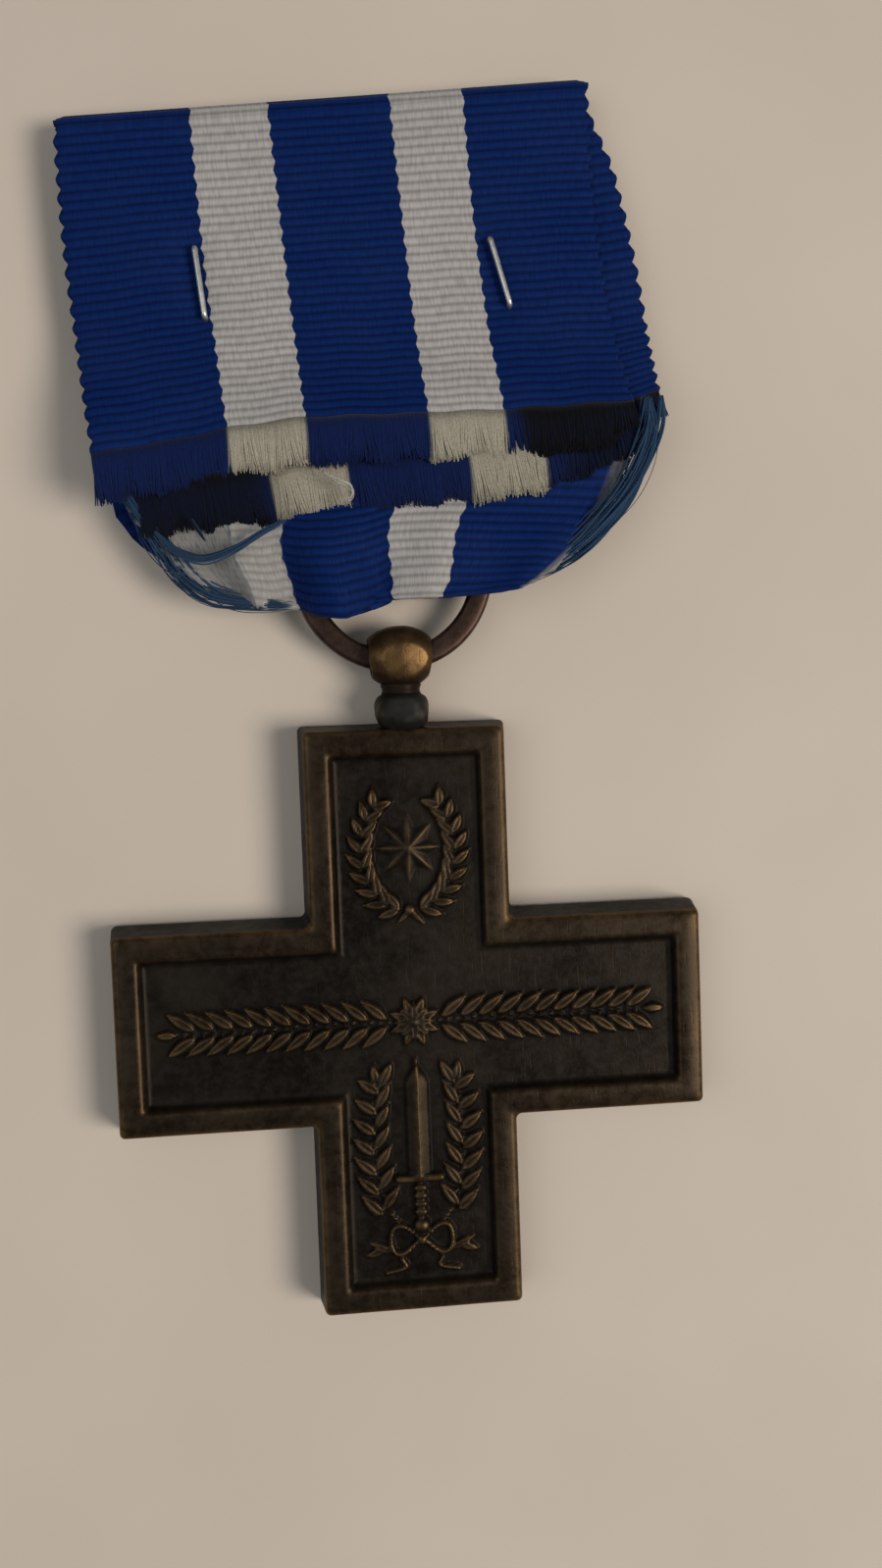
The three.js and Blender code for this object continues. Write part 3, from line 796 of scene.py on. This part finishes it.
def collar():
    """The soldered socket: a turned sleeve and the solder that ran over the rim, melted into one shape."""
    shell = Shell()
    sleeve = [(18.5, 0), (18.5, 1.05), (19.0, 1.5), (19.4, 1.7), (20.2, 1.74), (20.55, 1.62)]
    sleeve += [(20.8, 1.34), (20.82, 0)]
    points, faces = revolve(sleeve, "y", (0, 0, HANGER_Z), 40)
    points[:, 2] = np.minimum(points[:, 2], COLLAR_TOP_Z)
    shell.add(points, faces)
    ball = [(-cos(a), sin(a)) for a in np.linspace(0, pi, 15)]
    blobs = [
        ((0.0, 19.15, 2.8), (1.65, 0.7, 0.6)),
        ((-0.95, 19.6, 2.9), (0.7, 0.9, 0.66)),
        ((0.85, 19.6, 2.9), (0.8, 0.9, 0.66)),
        ((0.0, 19.6, 3.0), (0.9, 0.9, 0.62)),
    ]
    for middle, radii in blobs:
        points, faces = revolve(ball, "y", (0, 0, 0), 24)
        shell.add(points * radii + middle, faces)
    material = metal("dull_solder", **SOLDER, rough=(0.45, 0.6), metallic=0.7)
    made = shell.make("collar", material, "finish")
    remesh = made.modifiers.new("melt", "REMESH")
    remesh.mode = "VOXEL"
    remesh.voxel_size = 0.09 * MM
    remesh.use_smooth_shade = True
    soften = made.modifiers.new("soften", "SMOOTH")
    soften.factor = 0.6
    soften.iterations = 14
    bake_modifiers(made)
    count = len(made.data.vertices)
    co = np.empty(count * 3, np.float32)
    made.data.vertices.foreach_get("co", co)
    x, y, _ = ((co.reshape(-1, 3) - CENTRE) / MM).T
    wear = 0.55 * smooth(1.1, 1.6, np.abs(x)) * smooth(20.6, 20.0, y)
    # Darker towards the sleeve's top end, where it meets the ball's neck.
    soot_and_shade = 0.6 * smooth(20.45, 20.8, y)
    add_vectors(made.data, "finish", finish_values(wear, soot_and_shade))
    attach(made, "cross")
    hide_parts("suspension_collar")


def bake_modifiers(made):
    bpy.context.view_layer.update()
    evaluated = made.evaluated_get(bpy.context.evaluated_depsgraph_get())
    mesh = bpy.data.meshes.new_from_object(evaluated)
    old = made.data
    made.modifiers.clear()
    made.data = mesh
    mesh.name = made.name
    bpy.data.meshes.remove(old)
    if "finish" in mesh.attributes:
        mesh.attributes.remove(mesh.attributes["finish"])


def flattened(wave):
    """A sine or cosine of a section, swollen towards a square's."""
    return np.sign(wave) * np.abs(wave) ** 0.8


def suspension_ring():
    """Wire with a flattened face, bent into a ring and brazed at the top."""
    turns, sides = 160, 24
    turn, around = np.meshgrid(circle(turns), circle(sides), indexing="ij")
    outward, height = 0.70 * flattened(np.cos(around)), 0.66 * flattened(np.sin(around))
    height = np.where(height > 0.5, 0.5 + (height - 0.5) * 0.35, height)
    swell = 1 + 0.015 * np.sin(7 * turn + 1) + 0.10 * bell(turn - pi / 2, 0.07)
    outward, height = outward * swell, height * swell
    radius = RING_RADIUS + 0.03 * np.sin(2 * turn + 0.6) + outward
    points = np.stack([radius * np.cos(turn), radius * np.sin(turn), height], axis=-1).reshape(-1, 3)
    edge = bell(np.abs(outward) - 0.55, 0.1) * (height > 0.2)
    wear = 0.22 + 0.5 * edge * (0.5 + 0.5 * ripple(turn * 5, around, 1.0, 0.7))
    # Painted shade: the lower half of the wire, its underside, is darkened.
    finish = finish_values(wear, 0.3 * (height < 0.1))
    seam = between_rings((turns - 1) * sides, 0, sides)
    quads = np.concatenate([grid_quads(turns, sides, closed=True), seam])
    material = metal("brown_wire", **BROWN_WIRE, rough=(0.36, 0.5), wear_gain=0.8)
    made = make_object("ring", points + RING_CENTRE, [quads[:, ::-1]], material, finish=finish)
    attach(made, "ring")
    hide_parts("suspension_ring")


# ---------------- the ribbon

HALF_WIDTH = 16.5
TOP = (-3.1, 57.4)     # middle of the top fold
CLOTH = 0.19           # half the mean thickness
RIB_HEIGHT = 0.085     # from the bottom of a groove to the top of a rib, on each face
LEAF_Z = (0.62, 1.22, 1.82, 2.42)  # the four layers at the top fold, from the back
OUTER_LEAN, INNER_LEAF_LEAN, INNER_FLAP_LEAN = (radians(a) for a in (4.5, 6.5, 10.0))
LIFT = 2.15            # how far the ring raises the layers that lie on it
THROAT_X = -0.3        # middle of the strip inside the ring
THROAT_SPREAD = 0.235  # its width, as a share of the ribbon's
THROAT_Z = (0.62, 3.05)  # behind the wire and before it
THROAT_Y = 27.6
OUTER_LEAF_END = 20.5  # down from the top fold
INNER_LEAF_END = 18.5
INNER_FOLD = 2.6
INNER_FLAP_FREE = 16.5  # the inner flap's last stretch starts here
STAPLE_CROWN = 4.2
STAPLE_WIRE = 0.18     # radius
STAPLES = {"staple_left": (-11.35, 46.15, 6.0), "staple_right": (7.1, 46.75, 15.4)}  # middle, lean

# Places across the ribbon, from its left edge to its right.
COLUMNS = np.concatenate([[-HALF_WIDTH, -16.3], np.linspace(-16.0, 16.0, 50), [16.3, HALF_WIDTH]])


def on_strip(down, side, lean):
    """x and y of a place `down` from the top fold and `side` from the middle line of a leaning layer."""
    x = TOP[0] + down * np.sin(lean) + side * np.cos(lean)
    y = TOP[1] - down * np.cos(lean) + side * np.sin(lean)
    return x, y


def lift(y):
    """The ring under the ribbon raises what lies on it."""
    return LIFT * smooth(13, 23, TOP[1] - y)


def staple_ends(name):
    x, y, lean = STAPLES[name]
    reach = STAPLE_CROWN / 2 * np.array([sin(radians(lean)), -cos(radians(lean))])
    return np.array([x, y]) - reach, np.array([x, y]) + reach


def pinch(x, y):
    """How much the staples press the layers together, from 0 to 1."""
    total = 0
    for name in STAPLES:
        (ax, ay), (bx, by) = staple_ends(name)
        t = np.clip(((x - ax) * (bx - ax) + (y - ay) * (by - ay)) / STAPLE_CROWN**2, 0, 1)
        gap = np.hypot(x - ax - t * (bx - ax), y - ay - t * (by - ay))
        total = total + bell(gap, 0.85)
    return total


def outer_end(side):
    """How far down the outer flap its weave ends."""
    even = np.interp(side, (-16.5, -8.5, -4.0, 6.0, 16.5), (21.0, 20.1, 19.95, 20.35, 20.7))
    return even + 0.05 * np.sin(side * 1.7)


def inner_end(side):
    return np.interp(side, (-16.5, -8.5, -4.0, 5.0, 8.5, 16.5), (21.2, 22.0, 22.1, 23.2, 23.2, 21.6))


def bowed(x, down, side):
    """The outer flap's edges both stray a little to the left between the fold and the frayed end."""
    left, right = smooth(0, -HALF_WIDTH, side), smooth(0, HALF_WIDTH, side)
    x = x - 0.45 * left * np.sin(pi * np.clip(down / 20, 0, 1))
    return x - 0.75 * right * np.sin(pi * np.clip((down + 4) / 24, 0, 1))


def spread(x, down, side):
    """The inner flap's right edge is drawn in at its fold and swells beyond the outer flap's below."""
    swollen = 0.5 * np.sin(pi * np.clip((down - 4) / 18, 0, 1))
    return x + smooth(0, HALF_WIDTH, side) * (swollen - 0.6 * smooth(7.5, INNER_FOLD, down))


def outer_z(x, y, side):
    swell = 0.10 * ripple(x, y, 7.0, 0.5)
    pulled = 0.35 * smooth(17.0, 21.0, TOP[1] - y) * np.cos(side * 0.33 + 0.4)
    return LEAF_Z[3] + lift(y) + swell + pulled - 0.30 * pinch(x, y)


def inner_z(x, y, side):
    return LEAF_Z[2] + lift(y) - 0.22 * pinch(x, y) + 0.1 * smooth(18, 23, TOP[1] - y) * np.sin(side * 0.5)


def bezier(fine, *points):
    """Four control points for each column; `fine` runs down the rows."""
    rest = 1 - fine
    weights = (rest**3, 3 * fine * rest**2, 3 * fine**2 * rest, fine**3)
    return sum(weight * point for weight, point in zip(weights, points))


def by_length(t, *paths):
    """Moves down each column's path to the shares t of its length."""
    steps = sum(np.diff(path, axis=0) ** 2 for path in paths) ** 0.5
    length = np.concatenate([np.zeros((1, steps.shape[1])), np.cumsum(steps, axis=0)])
    made = [np.empty((len(t), steps.shape[1])) for _ in paths]
    for column in range(steps.shape[1]):
        for path, out in zip(paths, made):
            out[:, column] = np.interp(t * length[-1, column], length[:, column], path[:, column])
    return made


# Where the front of the ribbon folds under, above the ring: across the ribbon, then x and y.
HEM_ACROSS = (-16.5, -12.0, -8.45, -5.2, -3.9, -2.6, -0.5, 1.6, 3.75, 8.45, 16.5)
HEM_X = (-11.6, -10.2, -8.7, -7.3, -6.5, -5.3, -3.5, -1.8, -0.4, 2.8, 8.2)
HEM_Y = (27.4, 26.9, 26.4, 26.2, 26.5, 25.8, 25.6, 26.1, 26.9, 26.9, 27.3)
HEM_AT = 0.84          # share of the front's length that is above that fold


def gathered_back(t):
    """Behind the ring, from full width down to the strip inside the ring."""
    side = COLUMNS
    outer = np.abs(side / HALF_WIDTH) ** 1.4
    x0, y0 = on_strip(OUTER_LEAF_END, side, OUTER_LEAN)
    x3, y3 = THROAT_X + THROAT_SPREAD * side, THROAT_Y
    fine = np.linspace(0, 1, 60)[:, None]
    x = bezier(fine, x0, x0, x3 + 7.0 * outer * np.sign(side), x3)
    y = bezier(fine, y0, y0 - 2.5 - 4.0 * outer, y3 + 3.0 * (1 - outer) + 0.1, y3 + 0 * x0)
    x, y = by_length(t, x, y)
    return x, y, np.full(x.shape, THROAT_Z[0])


def gathered_front(t):
    """In front of the ring: down to the fold, then under it and into the ring."""
    side = COLUMNS
    outer = np.abs(side / HALF_WIDTH) ** 1.5
    x0, y0 = on_strip(INNER_LEAF_END, side, INNER_LEAF_LEAN)
    hem_x, hem_y = np.interp(side, HEM_ACROSS, HEM_X), np.interp(side, HEM_ACROSS, HEM_Y)
    fine = np.linspace(0, 1, 80)[:, None]
    left = outer * (side < 0)
    swing = np.where(side < 0, 1.2, 5.2) * np.sign(side) * outer
    steep = 3.4 - np.where(side < 0, 2.4, 1.0) * outer
    x = bezier(fine, x0, x0 + 0.2 + 1.8 * left, hem_x + swing, hem_x)
    y = bezier(fine, y0, y0 - 2.5 - 4.0 * outer + 2.5 * left, hem_y + steep, hem_y)
    above = t <= HEM_AT
    down = t[above] / HEM_AT
    x, y = by_length(down, x, y)
    s = down[:, None]
    phase = side * 0.8 + 1.5 + 0.5 * s
    pleat = 0.34 * np.sin(phase) * smooth(0.3, 0.9, s)
    lobe = 0.85 * bell(side + 1.4, 2.6) * smooth(0.35, 0.8, s)
    dimple = -0.7 * bell(side + 3.9, 1.0) * smooth(0.55, 0.85, s)
    dimple = dimple - 0.9 * bell(side - 2.6, 0.9) * smooth(0.72, 0.94, s)
    droop = -1.3 * smooth(8.0, 14.0, np.abs(x - THROAT_X)) * smooth(0.35, 0.9, s)
    roll = -0.45 * smooth(0.86, 1.0, s) ** 2
    start = LEAF_Z[1] + lift(y)
    free = smooth(34.5, 30.5, y)
    z = mix(start, 4.15, smooth(0.3, 0.9, s) * free) + (pleat + lobe + dimple) * free + droop + roll
    x = x + 0.22 * np.cos(phase) * smooth(0.4, 1, s)
    x = x - 1.2 * smooth(0.05, 0.4, s) * smooth(1.0, 0.65, s) * smooth(16, 8, side)

    s = ((t[~above] - HEM_AT) / (1 - HEM_AT))[:, None]
    turn = smooth(0, 1, s)
    under_x = mix(x[-1], THROAT_X + THROAT_SPREAD * side, turn)
    under_y = mix(y[-1], 27.4, turn) - 0.22 * np.sin(pi * s)
    under_z = mix(z[-1], THROAT_Z[1], smooth(0, 0.55, s))
    return (np.concatenate(pair) for pair in ((x, under_x), (y, under_y), (z, under_z)))


def ribbon_rows():
    """The strip from its outer end to its inner end, in stretches: rows of points, length, ribs, wear."""
    side = COLUMNS
    stretches = []

    def stretch(x, y, z, length, ribs, fray=0.0):
        points = np.stack([x, y, np.broadcast_to(z, x.shape)], axis=-1)
        stretches.append((points, length, ribs, np.broadcast_to(fray, x.shape)))

    def rows(length, ribs):
        """As many rows as the ribs need, or fewer where nothing shows."""
        step = RIB / 4 if ribs else 0.5
        return np.linspace(0, 1, max(3, round(length / step) + 1))[:, None]

    radius = (LEAF_Z[3] - LEAF_Z[0]) / 2
    middle = (LEAF_Z[3] + LEAF_Z[0]) / 2

    # The outer flap, from its frayed end up.
    t = rows(20.0, True)
    down = mix(outer_end(side), radius, t)
    x, y = on_strip(down, side, OUTER_LEAN)
    stretch(bowed(x, down, side), y, outer_z(x, y, side), 19.6, 1)

    # The outer fold.
    t = rows(pi * radius, True)
    x, y = on_strip(radius * (1 - np.sin(pi * t)), side, OUTER_LEAN)
    stretch(bowed(x, 0, side), y, middle + radius * np.cos(pi * t) + 0 * x, pi * radius, 1)

    # The outer leaf and the gathered part behind the ring.
    t = rows(19.6, False)
    x, y = on_strip(mix(radius, OUTER_LEAF_END, t), side, OUTER_LEAN)
    stretch(x, y, LEAF_Z[0], 19.6, 0)

    back = gathered_back(rows(11.0, False)[:, 0])
    stretch(*back, 11.0, 0)

    # The throat inside the ring, and the gathered part in front of it, which is made from the top down.
    t_front = rows(15.0, True)
    front = tuple(gathered_front(t_front[:, 0]))
    t = np.linspace(0, 1, 26)[:, None]
    x = mix(back[0][-1], front[0][-1], smooth(0, 1, t))
    y = mix(back[1][-1], front[1][-1], smooth(0, 1, t)) - 0.55 * np.sin(pi * t)
    z = mix(THROAT_Z[0], front[2][-1], 0.5 - 0.5 * np.cos(pi * t))
    stretch(x, y, z, 4.0, 0)
    bare = 0.9 * smooth(0.93, 0.99, side / HALF_WIDTH)
    bare = bare + 0.45 * smooth(-3.6, -3.9, side) + 0.5 * smooth(-8.2, -8.8, side)
    bare = bare * smooth(0.16, 0.3, t_front)
    stretch(*(part[::-1] for part in front), 15.0, 1, np.clip(bare, 0, 1)[::-1])

    # The inner leaf, the inner fold and the inner flap, down to its frayed end.
    inner_radius = (LEAF_Z[2] - LEAF_Z[1]) / 2
    inner_middle = (LEAF_Z[2] + LEAF_Z[1]) / 2
    skew = HALF_WIDTH * sin((INNER_FLAP_LEAN - INNER_LEAF_LEAN) / 2)
    start = INNER_FOLD + inner_radius + skew
    t = rows(14.0, False)
    down = mix(INNER_LEAF_END, start, t)
    x, y = on_strip(down, side, INNER_LEAF_LEAN)
    x = x - 0.6 * smooth(0, HALF_WIDTH, side) * smooth(7.5, INNER_FOLD, down)
    stretch(x, y, LEAF_Z[1] + lift(y) - 0.1 * pinch(x, y), 14.0, 0)

    t = np.linspace(0, 1, 9)[:, None]
    lean = mix(INNER_LEAF_LEAN, INNER_FLAP_LEAN, t)
    x, y = on_strip(start - inner_radius * np.sin(pi * t), side, lean)
    stretch(spread(x, INNER_FOLD, side), y, inner_middle - inner_radius * np.cos(pi * t) + 0 * x, 1.0, 0)

    for first, last, length in (start, INNER_FLAP_FREE, 12.0), (INNER_FLAP_FREE, inner_end(side), 6.5):
        down = mix(first, last, rows(length, True))
        x, y = on_strip(down, side, INNER_FLAP_LEAN)
        stretch(spread(x, down, side), y, inner_z(x, y, side), length, 1)
    return stretches


def ribbon():
    """One continuous sheet with its thickness, its ribs and its scalloped edges, and how long it is."""
    side = COLUMNS
    parts = []
    start = 0.0
    for index, (sheet, length, ribbed, bare) in enumerate(ribbon_rows()):
        place = start + np.linspace(0, length, len(sheet))
        columns = (sheet, place, np.full(len(sheet), float(ribbed)), bare)
        parts.append([values[min(index, 1) :] for values in columns])
        start += RIB * round(length / RIB)
    points, along, ribs, fray = (np.concatenate(values) for values in zip(*parts))

    scallop = 0.3 * (np.abs(np.sin(pi * along / SCALLOP)) - 0.6)[:, None]
    reach = np.sign(side) * (np.abs(side) > 16.1) * np.where(np.abs(side) > 16.4, 1.0, 0.7)
    across = np.gradient(points, axis=1)
    across /= np.linalg.norm(across, axis=2, keepdims=True)
    points = points + across * (scallop * reach)[..., None]

    onward = np.gradient(points, axis=0)
    normal = np.cross(onward, across)
    normal /= np.linalg.norm(normal, axis=2, keepdims=True)
    edge = smooth(HALF_WIDTH, 15.9, np.abs(side))
    wave = np.abs(np.cos(pi * along / RIB))[:, None]
    half = CLOTH * (0.55 + 0.45 * edge) + RIB_HEIGHT * (wave - 0.5) * ribs[:, None]
    half = half * (1 - 0.35 * fray)
    top, bottom = points + normal * half[..., None], points - normal * half[..., None]

    rows, columns = top.shape[:2]
    count = rows * columns
    quads = grid_quads(rows, columns)
    number = np.arange(count).reshape(rows, columns)
    border = np.concatenate([number[0, :-1], number[:-1, -1], number[-1, :0:-1], number[:0:-1, 0]])
    following = np.roll(border, -1)
    hem = np.stack([border, following, following + count, border + count], axis=1)
    faces = np.concatenate([quads[:, ::-1], quads + count, hem])
    weave = np.stack(np.broadcast_arrays(side, along[:, None], fray), axis=-1).reshape(-1, 3)
    points = np.concatenate([top.reshape(-1, 3), bottom.reshape(-1, 3)])
    weave = np.concatenate([weave, weave])
    return make_object("ribbon", points, [faces], ribbon_material(), weave=weave), along[-1]


def thread_fringe():
    """Warp threads that stick out where the weave of each flap ends."""
    shell = Shell()
    pitch, sides = 0.085, 5
    taper = 0.07 * np.array([1, 1.1, 1.1, 1.05, 0.9, 0.45])
    t = np.linspace(0, 1, len(taper))
    for end, lean, height, reach, sink in (
        (outer_end, OUTER_LEAN, outer_z, 2.75, 0.15),
        (inner_end, INNER_FLAP_LEAN, inner_z, 3.1, 0.2),
    ):
        for level in (-0.1, 0.02, 0.12, 0.2):
            for place in np.arange(-16.45, HALF_WIDTH, pitch) + rng.uniform(-0.04, 0.04):
                tuft = 1 + 0.05 * sin(place * 1.9) + 0.03 * sin(place * 5.3)
                length = reach * tuft * rng.uniform(0.95, 1.0) * (1 - 0.5 * abs(level))
                length = length * (1 - 0.5 * smooth(14, HALF_WIDTH, place))
                stray = 0.12 * sin(place * 2.7 + level * 9) + rng.normal(0, 0.05)
                down = end(place) - 0.35 + (length + 0.35) * t
                x, y = on_strip(down, place + stray * t**2 * 2, lean)
                z = height(x, y, place) + level * (1 - 0.5 * t)
                z = z - sink * t**2.2 + rng.normal(0, 0.03) * t
                points, faces = tube(np.column_stack([x, y, z]), taper, sides)
                # Painted shadow and shade on the fringe: on the inner flap it is darkened at the left,
                # where the outer flap's shadow falls, and at the right; on the outer flap it is darker
                # towards the right corner. Every thread is darker at its root, painted shade where it
                # leaves the weave, a little darker at its tip, and varies at random.
                dark = 0.6 * smooth(-7, -10, place) + 0.5 * smooth(8, 11, place)
                dark = 0.15 + dark if end is inner_end else 0.08 + 0.75 * smooth(8.6, 10, place)
                shade = dark + 0.25 * (1 - t) ** 4 + 0.1 * rng.random() + 0.12 * t**3
                values = np.repeat(np.column_stack([np.full(len(t), place), down, shade]), sides, axis=0)
                shell.add(points, faces, np.concatenate([values, values[:1], values[-1:]]))
    material = thread_material("fringe_threads", rgb(5, 30, 84), rgb(186, 178, 158))
    return shell.make("fringe", material)


def strand(shell, points, radius, count, spread, wiggle, across, samples=44, shade=0.0):
    """A loose bundle: several threads side by side along one path."""
    path = spline(points, samples)
    t = np.linspace(0, 1, samples)
    for _ in range(count):
        phase, lean = rng.uniform(0, 2 * pi, 2)
        offset = rng.normal(0, spread, 3) * (1, 1, 0.4)
        pull = (0.25 + np.sin(pi * t))[:, None] * offset
        wave = [np.sin(9 * t + phase), np.cos(8 * t + lean), 0.4 * np.sin(7 * t + phase)]
        centre = path + pull + wiggle * np.column_stack(wave)
        thread, faces = tube(centre, radius * rng.uniform(0.7, 1.15) * (1.05 - t**6), 5)
        shell.add(thread, faces, (across, 0.0, shade + rng.uniform(0.0, 0.45)))


def loose_threads():
    """Warp pulled out of both edges below the flaps, a stiff tuft and a curled end."""
    shell = Shell()
    blue, cream = 0.0, 6.0  # places across the ribbon that the threads come from
    left = [
        (-16.6, 33.8, 3.9), (-15.2, 31.8, 3.6), (-14.2, 30.2, 3.4), (-13.0, 28.4, 3.4),
        (-11.2, 27.1, 3.5), (-9.0, 26.6, 3.8), (-6.6, 26.3, 4.2),
    ]
    branch = [
        (-14.6, 31.0, 3.8), (-13.4, 29.8, 4.2), (-11.8, 29.2, 4.7),
        (-9.9, 29.7, 5.0), (-8.2, 30.6, 5.1), (-6.6, 31.4, 5.0),
    ]
    right = [
        (15.9, 38.4, 4.3), (15.9, 36.2, 4.1), (14.6, 33.2, 3.9),
        (12.6, 30.8, 3.7), (10.4, 29.0, 3.8), (7.6, 27.6, 4.0),
    ]
    outer = [
        (16.7, 38.6, 4.2), (16.6, 36.4, 4.0), (15.2, 33.4, 3.6),
        (13.2, 30.9, 3.4), (10.9, 28.9, 3.5), (8.2, 27.5, 3.8),
    ]
    strand(shell, left, 0.055, 34, 0.26, 0.08, blue)
    strand(shell, branch, 0.055, 16, 0.11, 0.05, blue)
    strand(shell, right, 0.055, 34, 0.30, 0.09, blue)
    strand(shell, outer, 0.05, 16, 0.24, 0.09, blue)
    strand(shell, right, 0.03, 26, 0.5, 0.22, blue)
    strand(shell, left, 0.03, 16, 0.4, 0.2, blue)
    spike = [(-12.3, 31.6, 4.6), (-11.9, 30.9, 4.9), (-11.5, 30.2, 4.9)]
    strand(shell, spike, 0.09, 3, 0.04, 0.0, blue, 12, 0.55)
    curl = [(-4.4, 34.2, 5.2), (-3.6, 33.6, 5.5), (-2.7, 33.2, 5.4), (-2.7, 32.6, 5.2), (-3.4, 32.5, 5.1)]
    strand(shell, curl, 0.045, 4, 0.12, 0.04, cream, 24)
    material = thread_material("loose_threads", rgb(48, 76, 108), rgb(196, 190, 176))
    return shell.make("loose_threads", material)


def rounded_path(corners, bend):
    """Straight runs between corners, each corner turned on a curve."""
    corners = np.asarray(corners, float)
    path = [corners[0]]
    for before, corner, after in zip(corners, corners[1:], corners[2:]):
        start = corner + (before - corner) / np.linalg.norm(before - corner) * bend
        end = corner + (after - corner) / np.linalg.norm(after - corner) * bend
        for t in np.linspace(0, 1, 6):
            path.append((1 - t) ** 2 * start + 2 * t * (1 - t) * corner + t**2 * end)
    path.append(corners[-1])
    return np.array(path)


def staples():
    """Wire with a straight crown in front, and legs that turn inwards behind the cloth."""
    material = wire_material()
    for name in STAPLES:
        top, low = (np.array([*end, 0.0]) for end in staple_ends(name))
        inward = (low - top) / STAPLE_CROWN
        crown, clinch = np.array([0, 0, 2.84]), np.array([0, 0, 0.2])
        upper = [top + inward * 1.5 + clinch, top + clinch, top + crown]
        lower = [low + crown, low + clinch, low - inward * 1.5 + clinch]
        path = rounded_path(upper + lower, 0.3)
        radius = np.full(len(path), STAPLE_WIRE)
        radius[[0, -1]] = 0.05
        points, faces = tube(path, radius, 14)
        made = make_object(name + "_wire", points, faces, material)
        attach(made, "ribbon_head")
        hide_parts(name)


def cloth():
    sheet, length = ribbon()
    fringe, threads = thread_fringe(), loose_threads()
    for piece in (sheet, fringe, threads):
        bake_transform(piece)
    nodes = [node["node"] for node in frame["record"]["subparts"] if node["node"].startswith("ribbon_")]
    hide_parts(*nodes)


# ---------------- floor and light


def floor():
    n = Nodes("floor")
    soft = n.noise(n.place(), 30.0, 3.0)
    base = n.colour(n.ramp(soft, 0.3, 0.7, 0.0, 1.0), rgb(206, 192, 176), rgb(212, 198, 182))
    material = n.finish(Base_Color=base, Roughness=0.7, Specular_IOR_Level=0.3)
    size = 1500.0
    corners = np.array([(-size, -size, 0), (size, -size, 0), (size, size, 0), (-size, size, 0)], float)
    made = make_object("floor", corners, [np.array([[0, 1, 2, 3]])], material)


def area_light(name, at, target, size, power, colour=(1, 1, 1)):
    data = bpy.data.lights.new(name, "AREA")
    data.shape = "DISK"
    data.size = size
    data.energy = power
    data.color = colour
    light = add_object(name, data)
    light.location = at
    light.rotation_euler = (Vector(target) - Vector(at)).to_track_quat("-Z", "Y").to_euler()


def lights():
    world = bpy.data.worlds.new("studio")
    world.use_nodes = True
    background = world.node_tree.nodes["Background"].inputs
    background["Color"].default_value = (0.86, 0.92, 1.0, 1.0)
    background["Strength"].default_value = 0.17
    bpy.context.scene.world = world
    area_light("key", (0.34, -0.10, 0.42), (0, 0.02, 0), 0.26, 2.02, (1.0, 0.94, 0.87))
    area_light("fill", (-0.28, 0.02, 0.46), (0, 0.02, 0), 0.5, 0.66, (0.9, 0.95, 1.0))


add_camera()
planchet()
drilled_ball()
collar()
suspension_ring()
cloth()
staples()
floor()
lights()
bpy.context.scene.view_settings.view_transform = "Standard"
